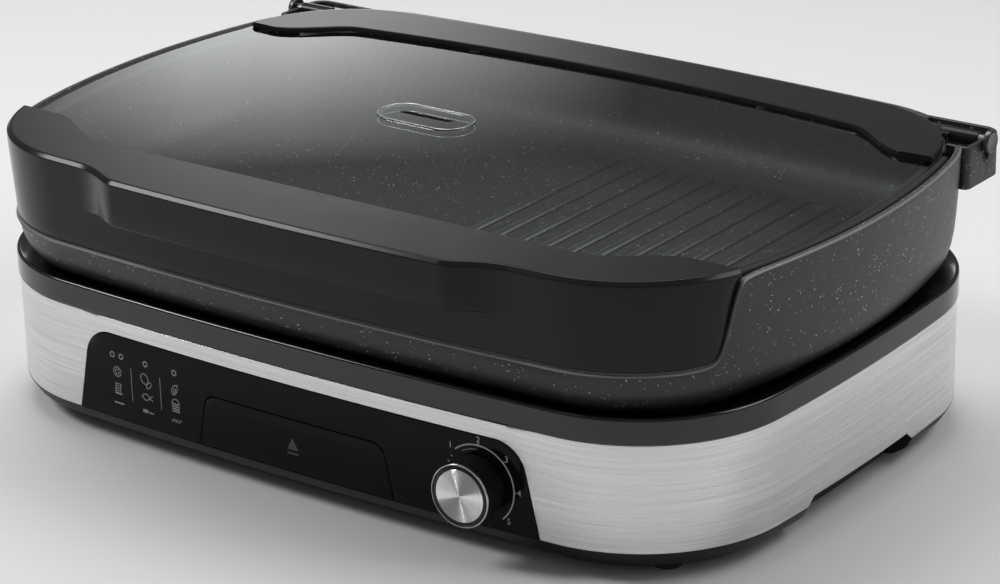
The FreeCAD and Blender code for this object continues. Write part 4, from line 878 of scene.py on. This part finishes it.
# the upper edge as (inward, drop), used once from above and once, turned over, from the side
eased = np.array([(1.4, 0), (0.45, 0), (0.12, 0.08), (-0.08, 0.24), (-0.25, 0.4), (-0.5, 0.65)])
rows = [(reach - BEVEL - inward, z_top - drop) for inward, drop in eased]
rows += [(reach - drop, z_top - BEVEL - inward) for inward, drop in eased[::-1]]
rows += [(reach + skirt(z) * (1 - swell), z) for z in (*FACE_ROWS, z_handle + 2.2)]
# the handle's round nose, its underside and the corner where it meets the skirt
rows += [(reach - 0.6 * swell + skirt(z_handle + 0.7) * (1 - swell), z_handle + 0.7),
         (reach - 2.0 * swell + skirt(z_handle) * (1 - swell), z_handle),
         (reach * 0.45 + skirt(z_handle) * (1 - swell * 0.5), z_handle),
         (skirt(z_handle) + 1.2 * swell, z_handle),
         (skirt(z_handle - 1) + 0.2 * swell, z_handle - 1.0)]
rows += [(skirt(z), z) for z in (*SKIRT_ROWS, z_low + 1.4)]
rows += [(skirt(z_low) - inward, z_low + rise) for inward, rise in HEM]
offsets = np.concatenate([np.broadcast_to(offset, swell.shape) for offset, _ in rows], axis=1)
heights = np.broadcast_to(np.array([z for _, z in rows]), offsets.shape)
heights = np.where(heights < z_bevel, z_bevel - (z_bevel - heights) * squeeze, heights)
inside_z = heights[:, -1:] + (z_plate - heights[:, -1:]) * np.array([0.35, 0.7, 1])
offsets = np.concatenate([offsets, skirt(inside_z) - SKIRT_WALL], axis=1)
heights = np.concatenate([heights, inside_z], axis=1)
print("points in one section:", offsets.shape[1])

# %% front trim with skirt and handle
LOBE_IN, LOBE_FROM, LOBE_RUN = 28, 150, 100
PLATE_Y, PLATE_DEEP, PLATE_FROM, PLATE_RUN, PLATE_EASE = 112.5, 25, 222, 56, 1.2
inner_x = front_x - np.sign(front_x) * LOBE_IN * smooth((np.abs(front_x) - LOBE_FROM) / LOBE_RUN)
inner_y = y_mid - PLATE_Y - PLATE_DEEP * smooth((PLATE_FROM - np.abs(inner_x)) / PLATE_RUN)
skirt_x, skirt_y = pan.at(front_turn[:, None], offsets)
toward = np.stack([skirt_x[:, 0] - inner_x, skirt_y[:, 0] - inner_y], axis=-1)
length = np.linalg.norm(toward, axis=1, keepdims=True)
step = np.concatenate([np.array([0, 0, PLATE_EASE]) / length, np.tile([0.35, 0.7], length.shape)], axis=1)
plate_x = inner_x[:, None] + toward[:, :1] * step
plate_y = inner_y[:, None] + toward[:, 1:] * step
plate_z = np.broadcast_to([z_plate, z_top, z_top, z_top, z_top], plate_x.shape)
front_points = np.stack([np.concatenate(pair, axis=1) for pair in
                         ((plate_x, skirt_x), (plate_y, skirt_y), (plate_z, heights))], axis=-1)
make_piece("front_trim_moulding", [grid(front_points, **BAR)], "lid", trim_finish,
           ["front_trim"], crease=70)

# %% [markdown]
# The rear moulding is a thin plate between the pane's rear edge and a wavy inner edge, with a lug and a
# round barrel at each end for the hinge. An extruded outline would leave sharp edges, so each row of the
# grid runs from the inner to the outer edge, and close steps at both sides round it.

# %% rear trim with its hinge barrels
REAR_END, REAR_INSET, REAR_THICK = math.radians(11.8), 10.5, 3.0
REAR_IN, REAR_FROM, REAR_RUN = 20, 150, 95
WAVE_Y, WAVE_DEEP, WAVE_FROM, WAVE_RUN, BULGE, BULGE_HALF = 91, 26.5, 225, 48, 12, 178
BARREL_START, BARREL_END, BARREL_R, BARREL_EASE = 222, 246, 4.4, 0.8
LUG_HALF, LUG_EASE = 3.0, 1.5
LUG_PLAN = [(205, 136), (229, 136), (229, 151), (205, 151)]
z_rear = z_plate + REAR_THICK
rear_turn = pan.round_angles(560)
rear_turn = rear_turn[(rear_turn > REAR_END) & (rear_turn < math.pi - REAR_END)]
rear_x, rear_y = pan.at(rear_turn, -REAR_INSET)
in_x = rear_x - np.sign(rear_x) * REAR_IN * smooth((np.abs(rear_x) - REAR_FROM) / REAR_RUN)
in_y = y_mid + WAVE_Y + WAVE_DEEP * smooth((WAVE_FROM - np.abs(in_x)) / WAVE_RUN)
in_y += BULGE * np.maximum(1 - (in_x / BULGE_HALF) ** 2, 0)
toward = np.stack([rear_x - in_x, rear_y - in_y], axis=-1)
length = np.linalg.norm(toward, axis=1, keepdims=True)
# millimetres from either edge as shares of the row, so that the rounds keep their size
from_inner = np.array([0, 0, 0.25, 0.9, 1.8]) / length
from_outer = 1 - np.array([2.6, 1.6, 0.5, 0, 0]) / length
step = np.concatenate([from_inner, np.full_like(length, 0.5), from_outer], axis=1)
rear_z = z_rear - np.array([REAR_THICK, 0.9, 0.25, 0, 0, 0, 0, 0, 0.45, 1.6, REAR_THICK])
plate = np.stack([in_x[:, None] + toward[:, :1] * step, in_y[:, None] + toward[:, 1:] * step,
                  np.broadcast_to(rear_z, step.shape)], axis=-1)
shapes = [grid(plate, **BAR)]
barrel_run = BARREL_END - BARREL_START
barrel = [(0, 0), (BARREL_R - BARREL_EASE, 0), (BARREL_R, BARREL_EASE), (BARREL_R, barrel_run - BARREL_EASE),
          (BARREL_R - BARREL_EASE, barrel_run), (0, barrel_run)]
for sign in (1, -1):
    lug = soft_corners(LUG_PLAN, [3, 5, 6, 6], 6) * [sign, 1] + [0, y_mid]
    shapes.append(pad(lug, hinge_z - LUG_HALF, hinge_z + LUG_HALF, LUG_EASE))
    shapes.append(turned(barrel, (sign * BARREL_START, hinge_y, hinge_z), (sign, 0, 0), 48))
make_piece("rear_trim_moulding", shapes, "lid", trim_finish, ["rear_trim"])

# %% [markdown]
# A steel pin sits in each barrel, and its round head keeps it in the ear's slot. A cylinder with a bevel
# would do, but the head's face is dished. A pin is a turned part, so its profile is turned about the
# hinge's axis.

# %% hinge pins
PIN_R, NECK_R, HEAD_R, HEAD_START, HEAD_THICK, PIN_DEEP, HEAD_DISH = 2.5, 3.4, 6.5, 250.8, 3.6, 18, 0.35
head = HEAD_START - BARREL_END
head_top = head + HEAD_THICK
pin_profile = [(0, -PIN_DEEP), (PIN_R, -PIN_DEEP), (PIN_R, 0), (NECK_R, 0), (NECK_R, head),
               (HEAD_R - 0.5, head), (HEAD_R, head + 0.5), (HEAD_R, head_top - 1),
               (HEAD_R - 0.3, head_top - 0.3), (HEAD_R - 1, head_top), (HEAD_R - 2.2, head_top - HEAD_DISH),
               (0, head_top - HEAD_DISH)]
make_piece("hinge_pin_pair", [turned(pin_profile, (sign * BARREL_END, hinge_y, hinge_z), (sign, 0, 0), 48)
                              for sign in (1, -1)], "lid", pin_finish, ["hinge_pins"])

# %% [markdown]
# The pane is flat glass with eased edges and a hole for the vent. One many-sided face with a hole would
# need a boolean and could shade unevenly. The grid here runs from the outer edge to the hole instead, and
# its close rows at the edge keep the flat part flat.

# %% glass pane
PANE_IN, PANE_REAR, PANE_EASE, REAR_FACING, REAR_BLEND = 9, 12.5, 0.6, 0.75, 0.2
VENT_FLANGE = 3.5
vent_low, vent_high = box_mm("vent_rim")
vent_mid = (vent_low + vent_high) / 2
vent_r = (vent_high[1] - vent_low[1]) / 2
vent_run = (vent_high[0] - vent_low[0]) / 2 - vent_r


def vent_oval(turn, radius):
    """Two half circles pushed apart by the vent's straight run, as rows of (x, y) for each radius."""
    across = np.cos(turn)[:, None]
    return np.stack([vent_mid[0] + vent_run * np.sign(across) + radius * across,
                     vent_mid[1] + radius * np.sin(turn)[:, None]], axis=-1)


pane_turn = pan.round_angles(360)
at_rear = smooth((np.sin(pane_turn) - REAR_FACING) / REAR_BLEND)
pane_inset = (PANE_IN + (PANE_REAR - PANE_IN) * at_rear)[:, None]
glass_low, glass_high = pane_low[2], pane_high[2]
edge_in = pane_inset + PANE_EASE * np.array([1, 0, 0, 0.3, 1, 2])
edge_z = np.array([glass_low, glass_low + PANE_EASE, glass_high - PANE_EASE, glass_high - 0.3 * PANE_EASE,
                   glass_high, glass_high])
rim = np.stack(pan.at(pane_turn[:, None], -edge_in), axis=-1)
hole = vent_oval(pane_turn, np.array([vent_r - VENT_FLANGE]))
share = np.array([0.05, 0.3, 0.6, 1])[:, None]
over = rim[:, -1:] * (1 - share) + hole * share
plan = np.concatenate([rim, over, over[:, ::-1]], axis=1)
height = np.concatenate([edge_z, np.full(len(share), glass_high), np.full(len(share), glass_low)])
pane_points = np.concatenate([plan, np.broadcast_to(height[:, None], plan.shape[:2] + (1,))], axis=-1)
make_piece("lid_pane", [grid(pane_points, **RING)], "lid", pane_finish, ["lid_glass"])

# %% [markdown]
# A dark seal closes the joint between the pane and the pan's rim, except at the rear, where the moulding
# covers the joint. Such a seal is an extruded strip, which a curve with a bevel profile could give. Here
# one profile is carried along part of the pan's plan, so that it keeps its distance from the rim.

# %% seal
SEAL_OUT, SEAL_IN, SEAL_RISE, SEAL_END, SEAL_LIP, SEAL_GAP = 5.2, PANE_IN + 0.1, 0.5, 108, 8, 0.1
seal_low, seal_high = (box[2] for box in box_mm("lid_gasket"))
seal_turn = pan.round_angles(420)
seal_y = pan.at(seal_turn, -SEAL_OUT)[1] - y_mid
rear_ends = np.flatnonzero((seal_y[:-1] > SEAL_END) != (seal_y[1:] > SEAL_END))
seal_turn = np.roll(seal_turn, -rear_ends[1] - 1)
seal_turn = seal_turn[pan.at(seal_turn, -SEAL_OUT)[1] - y_mid < SEAL_END]
seal_top, lip_top = seal_high + SEAL_RISE, glass_low - SEAL_GAP
seal_corners = [(-SEAL_OUT, seal_low), (-SEAL_OUT, seal_top), (-SEAL_IN, seal_top), (-SEAL_IN, lip_top),
                (-SEAL_IN - SEAL_LIP, lip_top), (-SEAL_IN - SEAL_LIP, seal_low)]
seal_out, seal_height = soft_corners(seal_corners, [0.8, 1.6, 1.2, 0.1, 0.4, 0.4]).T
make_piece("lid_seal", [sweep(pan, seal_turn, seal_out, seal_height, **BAR)],
           "lid", seal_finish, ["lid_gasket"])

# %% [markdown]
# The steam vent shows as thin bright lines in the glass. A solid metal oval would hide what is under it,
# so the collar is clear, and two fine metal beads follow its oval over and under the pane. Both come from
# the same function, which carries a profile once round the oval.

# %% vent
VENT_BORE, VENT_RISE, VENT_EASE, VENT_ROUND = 13.4, 0.5, 0.5, 0.1
EDGE_R, EDGE_SUNK = 0.32, 0.3
vent_turn = np.linspace(-math.pi, math.pi, 128, endpoint=False) + 0.01
z_vent, vent_foot = glass_high + VENT_RISE, vent_low[2]


def round_vent(profile):
    """A closed profile of (offset, height) carried once round the vent's oval."""
    plan = vent_oval(vent_turn, vent_r + profile[:, 0])
    rise = np.broadcast_to(profile[:, 1:], plan.shape[:2] + (1,))
    return grid(np.concatenate([plan, rise], axis=-1), **RING)


vent_profile = np.array([(0, glass_high), (0, z_vent - VENT_ROUND), (-VENT_ROUND, z_vent),
                         (-VENT_EASE, z_vent), (VENT_EASE - VENT_BORE, z_vent),
                         (VENT_ROUND - VENT_BORE, z_vent), (-VENT_BORE, z_vent - VENT_ROUND),
                         (-VENT_BORE, vent_foot), (VENT_EASE - VENT_BORE, vent_foot),
                         (-VENT_EASE - VENT_FLANGE, vent_foot), (-VENT_FLANGE, vent_foot),
                         (-VENT_FLANGE, glass_high)])
make_piece("vent_collar", [round_vent(vent_profile)], "lid", pane_finish, ["vent_rim"])
bead_turn = np.linspace(0, 2 * math.pi, 10, endpoint=False)
bead_round = EDGE_R * np.stack([np.cos(bead_turn), np.sin(bead_turn)], axis=-1)
edges = [(-EDGE_R, z_vent - EDGE_SUNK * EDGE_R), (-EDGE_R, glass_low - EDGE_R)]
make_piece("vent_edge_lines", [round_vent(bead_round + edge) for edge in edges], "lid",
           bright_finish)

# %% [markdown]
# The knob is a black cup with a chrome ring and a spun disc. All three are turned parts, so they are
# profiles of radius and height about the joint's axis, which stands square to the bowed front. The disc's
# rings are real grooves, because a bump alone would not split the light into the fan that a spun disc
# shows.

# %% knob
DISC_R, DISC_LOW, DISC_TOP, GROOVE_PITCH, GROOVE_SLOPE, GROOVE_STEPS = 15.05, 17.05, 18.35, 0.6, 1.2, 6
GROOVES_FROM, GROOVES_TO = DISC_R - 0.4, 0.2
outward = -np.array(joints["knob_turn"]["axis"])
knob_foot = np.array([knob_x, knob_y, knob_z])
cup = [(0, 3), (7, 3), (7, 9), (15.3, 9), (15.3, 1), (16.8, 1), (17.3, 1.5), (17.1, 16.4), (17.3, 16.7),
       (17.3, 17.6), (15.5, 18.4), (15.1, 18.2), (15.1, 17), (0, 17)]
chrome = [(17.35, 16.8), (17.9, 16.8), (18.1, 17.0), (18.1, 17.4), (18.0, 17.8), (17.75, 18.0), (17.35, 18.0),
          (17.35, 16.8)]
groove_r = np.arange(GROOVES_FROM, GROOVES_TO, -GROOVE_PITCH / GROOVE_STEPS)
groove_deep = GROOVE_SLOPE * GROOVE_PITCH / (2 * math.pi)
groove_z = DISC_TOP + groove_deep * np.sin(2 * math.pi * groove_r / GROOVE_PITCH)
spun = [(0, DISC_LOW), (DISC_R, DISC_LOW), (DISC_R, DISC_TOP - 0.3), (DISC_R - 0.2, DISC_TOP - 0.1),
        *zip(groove_r, groove_z), (0, DISC_TOP)]
make_piece("knob_body_turned", [turned(cup, knob_foot, outward)], "knob", knob_finish,
           ["knob_body"])
make_piece("knob_ring_turned", [turned(chrome, knob_foot, outward, 128)], "knob",
           chrome_finish, ["knob_ring"], crease=60)
make_piece("knob_face_disc", [turned(spun, knob_foot, outward, 128)], "knob", disc_finish,
           ["knob_face"])

# %% [markdown]
# The marks on the panel are printed. An image would carry them on a flat sheet, but it blurs close up and
# needs a file. Each mark is a thin film of mesh here, laid on the bowed face: an outline with a front and
# a back.

# %% helpers for printed marks
PRINT, PRINT_SUNK = 0.06, 0.02


def on_panel(x, z, proud=0.0):
    """Points of the panel's face at (x, z), standing out by a small amount."""
    return np.stack([x, base.front_y(x) - proud, z], axis=-1)


def mark(outline):
    """A printed shape: a closed (x, z) outline on the face, as a film as thick as the print."""
    outline = np.array(outline, float)
    films = [on_panel(outline[:, 0], outline[:, 1], proud) for proud in (-PRINT_SUNK, PRINT)]
    return grid(np.stack(films), **BAR)


def stroke(points, wide):
    """A printed line of even width: each point moved half the width to both sides of the line's direction."""
    points = np.array(points, float)
    ahead = np.gradient(points, axis=0)
    ahead /= np.linalg.norm(ahead, axis=1, keepdims=True)
    aside = np.stack([-ahead[:, 1], ahead[:, 0]], axis=-1) * wide / 2
    return mark(np.concatenate([points + aside, (points - aside)[::-1]]))


def arc_points(x, z, radius, start, end, count=24):
    """Points along an arc, from one angle in degrees to another."""
    turn = np.radians(np.linspace(start, end, count))
    return np.stack([x + radius * np.cos(turn), z + radius * np.sin(turn)], axis=-1)


def dial_point(radius, angle):
    """The point of the panel at a radius and an angle in degrees from the knob's axis."""
    return arc_points(knob_x, knob_z, radius, angle, angle, 1)[0]


def disc(x, z, radius):
    """A printed dot: a circle of 24 points."""
    return mark(arc_points(x, z, radius, 0, 345, 24))


print("panel's face at the knob, mm:", np.round(on_panel(knob_x, knob_z), 1))

# %% dial
DIAL_R, DIAL_FROM, DIAL_TO, DIAL_WIDE = 22.4, 130, -48, 0.8
BEZEL_R, BEZEL_FROM, BEZEL_TO, BEZEL_WIDE = 19.8, 120, 92, 0.25
TICKS, TICK_TALL, TICK_WIDE = (89, 45, 1), 1.2, 0.7
DOTS, DOT_PLACE, DOT_R = (143, 154), 21, 0.45
dial = [stroke(arc_points(knob_x, knob_z, DIAL_R, DIAL_FROM, DIAL_TO, 60), DIAL_WIDE),
        stroke(arc_points(knob_x, knob_z, BEZEL_R, BEZEL_FROM, BEZEL_TO, 20), BEZEL_WIDE)]
dial += [stroke([dial_point(r, angle) for r in (DIAL_R, DIAL_R + TICK_TALL)], TICK_WIDE) for angle in TICKS]
dial += [disc(*dial_point(DOT_PLACE, angle), DOT_R) for angle in DOTS]
make_piece("dial_arc", dial, "base", print_finish)

# %% numbers of the dial and mark on the drawer
NUMBER_R, NUMBER_TALL, FONT_SCALE = 25.6, 3.6, 1.4
NUMBERS = {"1": 133, "2": 89, "3": 45, "4": 1, "5": -43}
EJECT_HALF, EJECT_FOOT, EJECT_TIP, EJECT_BAR_LOW, EJECT_BAR_TOP = 4, 13.5, 20.5, 10.7, 11.9


def digit(text, x, z, height):
    """A number as a flat film: Blender's own letter shapes, filled, then laid on the panel."""
    curve = bpy.data.curves.new("dial_number_" + text, "FONT")
    curve.body, curve.size, curve.align_x, curve.align_y = text, height * FONT_SCALE, "CENTER", "CENTER"
    letter = bpy.data.objects.new("dial_number_" + text, curve)
    mesh = bpy.data.meshes.new_from_object(letter)
    bpy.data.objects.remove(letter)
    bpy.data.curves.remove(curve)
    flat = np.empty(len(mesh.vertices) * 3)
    mesh.vertices.foreach_get("co", flat)
    flat = flat.reshape(-1, 3)
    points = on_panel(flat[:, 0] + x, flat[:, 1] + z, PRINT) * MM
    mesh.vertices.foreach_set("co", points.ravel())
    mesh.materials.clear()
    mesh.materials.append(print_finish)
    piece = bpy.data.objects.new("dial_number_" + text, mesh)
    bpy.context.scene.collection.objects.link(piece)
    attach(piece, "base")
    print(piece.name + ":", len(mesh.vertices), "points")


for number, angle in NUMBERS.items():
    digit(number, *dial_point(NUMBER_R, angle), NUMBER_TALL)

eject = [mark([(-EJECT_HALF, z_band + EJECT_FOOT), (EJECT_HALF, z_band + EJECT_FOOT),
               (0, z_band + EJECT_TIP)]),
         mark([(-EJECT_HALF, z_band + EJECT_BAR_LOW), (EJECT_HALF, z_band + EJECT_BAR_LOW),
               (EJECT_HALF, z_band + EJECT_BAR_TOP), (-EJECT_HALF, z_band + EJECT_BAR_TOP)])]
make_piece("drawer_mark", eject, "drip_tray", dark_print_finish)

# %% [markdown]
# Three columns of small pictograms stand on the panel's left half. They are plain drawings of their own,
# put together from a few strokes: waves, ellipses, arcs, dots and bars. Every number here is a place or a
# size in millimetres, read from the middle of its own pictogram.

# %% helpers for pictograms
def bar(x, z, half_x, half_z):
    """A printed rectangle about (x, z)."""
    low, high = z - half_z, z + half_z
    return mark([(x - half_x, low), (x + half_x, low), (x + half_x, high), (x - half_x, high)])


def wave(x, z, half, swing, turns, upright, wide=0.5):
    """A printed sine line, lying down or standing up."""
    run = np.linspace(-half, half, 40)
    aside = swing * np.sin(run / half * math.pi * turns)
    points = np.stack([x + aside, z + run] if upright else [x + run, z + aside], axis=-1)
    return stroke(points, wide)


def ring_mark(x, z, half_x, half_z, lean=0, wide=0.55):
    """A printed ellipse line, turned by an angle in degrees."""
    turn, lean = np.radians(np.linspace(0, 352, 40)), math.radians(lean)
    along, across = half_x * np.cos(turn), half_z * np.sin(turn)
    return stroke(np.stack([x + along * math.cos(lean) - across * math.sin(lean),
                            z + along * math.sin(lean) + across * math.cos(lean)], axis=-1), wide)


LEFT, MIDDLE, RIGHT = -131, -108.3, -86
HEAD, FIRST, SECOND, THIRD = z_band + np.array([39.2, 29.2, 18.8, 9.8])
print("rows of pictograms, mm:", np.round([HEAD, FIRST, SECOND, THIRD], 1))

# %% cooking pictograms
icons = [ring_mark(x, HEAD, 1.5, 1.5, 0, 0.8) for x in (-134.2, -127.2, MIDDLE, RIGHT)]
icons += [ring_mark(LEFT, FIRST, 2.9, 2.9)]
icons += [disc(*slice_at, 0.5) for slice_at in arc_points(LEFT, FIRST, 1.5, 0, 300, 6)]
icons += [stroke([(LEFT - 2, z), (LEFT + 2, z)], 0.5) for z in SECOND + np.array([3, 1.5, 0, -1.5])]
icons += [wave(LEFT + shift, SECOND + 0.6, 2.8, 0.3, 1, True) for shift in (-2, 2)]
icons += [bar(LEFT, SECOND - 3, 2.8, 0.5), bar(LEFT, THIRD, 3.8, 0.5)]
icons += [ring_mark(MIDDLE - 1.2, FIRST + 0.6, 3.2, 2.7, 120)]
icons += [ring_mark(MIDDLE + 2, FIRST - 2.8, 2.4, 1.3, 50)]
fish_x = np.linspace(-4, 4.4, 30)
fish_z = 1.9 * np.sin(math.pi * (fish_x + 4) / 6.4)
icons += [stroke(np.stack([MIDDLE + fish_x, SECOND + sign * fish_z], axis=-1), 0.6) for sign in (1, -1)]
icons += [bar(MIDDLE - 1.8, THIRD + 0.2, 2.0, 1.0), bar(MIDDLE + 2.8, THIRD - 0.2, 1.9, 0.4)]
icons += [ring_mark(RIGHT - 0.4, FIRST - 0.6, 3.2, 1.9, 62)]
icons += [ring_mark(RIGHT - 0.4, FIRST - 1.2, 1.6, 0.7, 62)]
icons += [stroke([(RIGHT + 1, FIRST + 2), (RIGHT + 2.4, FIRST + 3.2)], 0.6)]
icons += [stroke(arc_points(RIGHT, SECOND + 1.4, 2.9, 0, 180, 16), 0.55)]
icons += [bar(RIGHT, z, 2.9, 0.45) for z in SECOND + np.array([1.2, -0.3, -1.8, -3.2])]
icons += [wave(RIGHT, THIRD, 3.6, 0.9, 3, False)]
icons += [bar(-120, z_band + 23.6, 0.22, 10.4), bar(-97.4, z_band + 23.8, 0.22, 9.8)]
make_piece("cooking_icons", icons, "base", icon_finish)

# %% [markdown]
# What is inside, and the few CAD nodes that already look right, keep their CAD meshes. Only their
# finishes are new, chosen by what such a part is made of: zinc sheet, bright sheet, rubber, plastic or
# coloured wire.

# %% finishes for the CAD nodes that stay
KEPT = {screw_finish: ["trim_screws", "plate_screws", "thermostat_screws", "thermostat_shaft"],
        zinc_finish: ["element_terminals", "element_clips", "bottom_plate", "support_posts"],
        bright_finish: ["reflector", "thermal_fuse"], element_finish: ["heating_element"],
        foot_finish: ["rubber_feet", "cord_gland"], tray_finish: ["drip_tray"],
        tub_finish: ["tray_rails", "thermostat"], block_finish: ["terminal_block"],
        blue_finish: ["lead_neutral"], brown_finish: ["lead_live", "lead_switched", "lead_fused"]}
for finish, names in KEPT.items():
    for name in names:
        for material_slot in frame["nodes"][name].material_slots:
            material_slot.material = finish
print("kept CAD nodes:", sum(map(len, KEPT.values())))

# %% [markdown]
# The grill stands on a pale floor that takes its soft shadow. A photograph's paper sweep would also do,
# but a wide plane is enough, because its far edge lies outside the picture.

# %% floor
FLOOR_HALF = 4.0
floor_mesh = bpy.data.meshes.new("studio_floor")
floor_corners = [(-1, -1, 0), (1, -1, 0), (1, 1, 0), (-1, 1, 0)]
floor_mesh.from_pydata([(FLOOR_HALF * x, FLOOR_HALF * y, z) for x, y, z in floor_corners], [], [(0, 1, 2, 3)])
floor_finish, floor_shader, floor_place = new_finish("studio_floor", {"Roughness": 0.9})
feed(floor_shader, {"Base Color": mixed(noise(floor_place, 0.8), grey(0.80), grey(0.84))})
floor_mesh.materials.append(floor_finish)
studio_floor = bpy.data.objects.new("studio_floor", floor_mesh)
bpy.context.scene.collection.objects.link(studio_floor)
print("floor, m:", 2 * FLOOR_HALF)

# %% [markdown]
# Four soft lamps light it: a broad one overhead, one at the front left and two at the right. The world is
# dim, with one bright patch low behind on the left, where the flat glass mirrors it. That mirror image is
# what shows the pane, and a patch in the world gives it soft edges that a lamp would not have.

# %% world with a bright patch
SKY, GLOW, SKY_TINT = 0.16, 2.4, (0.96, 0.98, 1.0, 1)
PATCH_RIGHT, PATCH_LEFT, PATCH_TOP = (-0.535, -0.615), (-0.69, -0.64), (0.325, 0.285)
world = bpy.data.worlds.new("studio")
bpy.context.scene.world = world
world.use_nodes = True
sky = Value(world.node_tree)
direction = sky.node("TexCoord", output="Generated")
sky_x, sky_y, sky_z = (sky.node("SeparateXYZ", {}, {"Vector": direction}, output=axis) for axis in "XYZ")
behind_left = ramp(sky_x, *PATCH_RIGHT) * ramp(sky_x, *PATCH_LEFT) * (sky_y > 0.0)
low_down = ramp(sky_z, *PATCH_TOP)
background = world.node_tree.nodes["Background"]
background.inputs["Color"].default_value = SKY_TINT
feed(background, {"Strength": SKY + GLOW * behind_left * low_down})
print("world strength from", SKY, "to", SKY + GLOW)

# %% lamps
def facing(right, up, back):
    """A rotation whose columns are the directions to the right, up and back, as a 4 x 4 matrix."""
    return Matrix(np.column_stack([right, up, back]).tolist()).to_4x4()


def soft_box(name, place, aim, size_x, size_y, watts):
    """A rectangular lamp at a place in metres, facing a point."""
    lamp = bpy.data.lights.new(name, "AREA")
    lamp.shape, lamp.size, lamp.size_y, lamp.energy = "RECTANGLE", size_x, size_y, watts
    made = bpy.data.objects.new(name, lamp)
    bpy.context.scene.collection.objects.link(made)
    back = np.array(place, float) - np.array(aim, float)
    back /= np.linalg.norm(back)
    right = np.cross([0, 0, 1], back)
    right /= np.linalg.norm(right)
    made.matrix_world = facing(right, np.cross(back, right), back)
    made.location = place
    print(name + ":", watts, "W at", place)


soft_box("overhead", (-0.5, 0.45, 1.8), (0, 0, 0), 1.5, 1.2, 18)
soft_box("front_left", (-1.45, -0.82, 1.5), (-0.1, -0.15, 0.12), 0.6, 0.7, 18)
soft_box("right_high", (0.98, 0.65, 1.3), (0, 0, 0.1), 1.2, 0.5, 8)
soft_box("right_fill", (1.9, 0.5, 1.1), (0, 0, 0.08), 0.9, 1.2, 3)

# %% [markdown]
# The camera stands where the photograph was taken. Its place was fitted to the band's outline and to the
# knob's ellipse. A long lens from two metres keeps the upright lines nearly upright, as in the
# photograph.

# %% camera
AZIMUTH, ELEVATION, ROLL = (math.radians(angle) for angle in (37.05, 21.5, 1.5))
DISTANCE, LENS, SENSOR, AIM_Z = 1.954, 120.4, 36.0, 0.057
SHIFT_X, SHIFT_Y, CLIP_NEAR, CLIP_FAR = 0.0190, 0.0150, 0.05, 50
level = np.array([math.cos(AZIMUTH), math.sin(AZIMUTH), 0])
back = np.array([math.sin(AZIMUTH) * math.cos(ELEVATION), -math.cos(AZIMUTH) * math.cos(ELEVATION),
                 math.sin(ELEVATION)])
upright = np.cross(back, level)
turned_up = upright * math.cos(ROLL) + level * math.sin(ROLL)
turned_right = level * math.cos(ROLL) - upright * math.sin(ROLL)
lens = bpy.data.cameras.new("studio_camera")
lens.lens, lens.sensor_width, lens.shift_x, lens.shift_y = LENS, SENSOR, SHIFT_X, SHIFT_Y
lens.clip_start, lens.clip_end = CLIP_NEAR, CLIP_FAR
camera = bpy.data.objects.new("studio_camera", lens)
bpy.context.scene.collection.objects.link(camera)
camera.matrix_world = facing(turned_right, turned_up, back)
camera.location = np.array([0, y_mid * MM, AIM_Z]) + back * DISTANCE
bpy.context.scene.camera = camera
bpy.context.scene.view_settings.view_transform = "Standard"
print("camera, m:", np.round(camera.location, 3))

# %% [markdown]
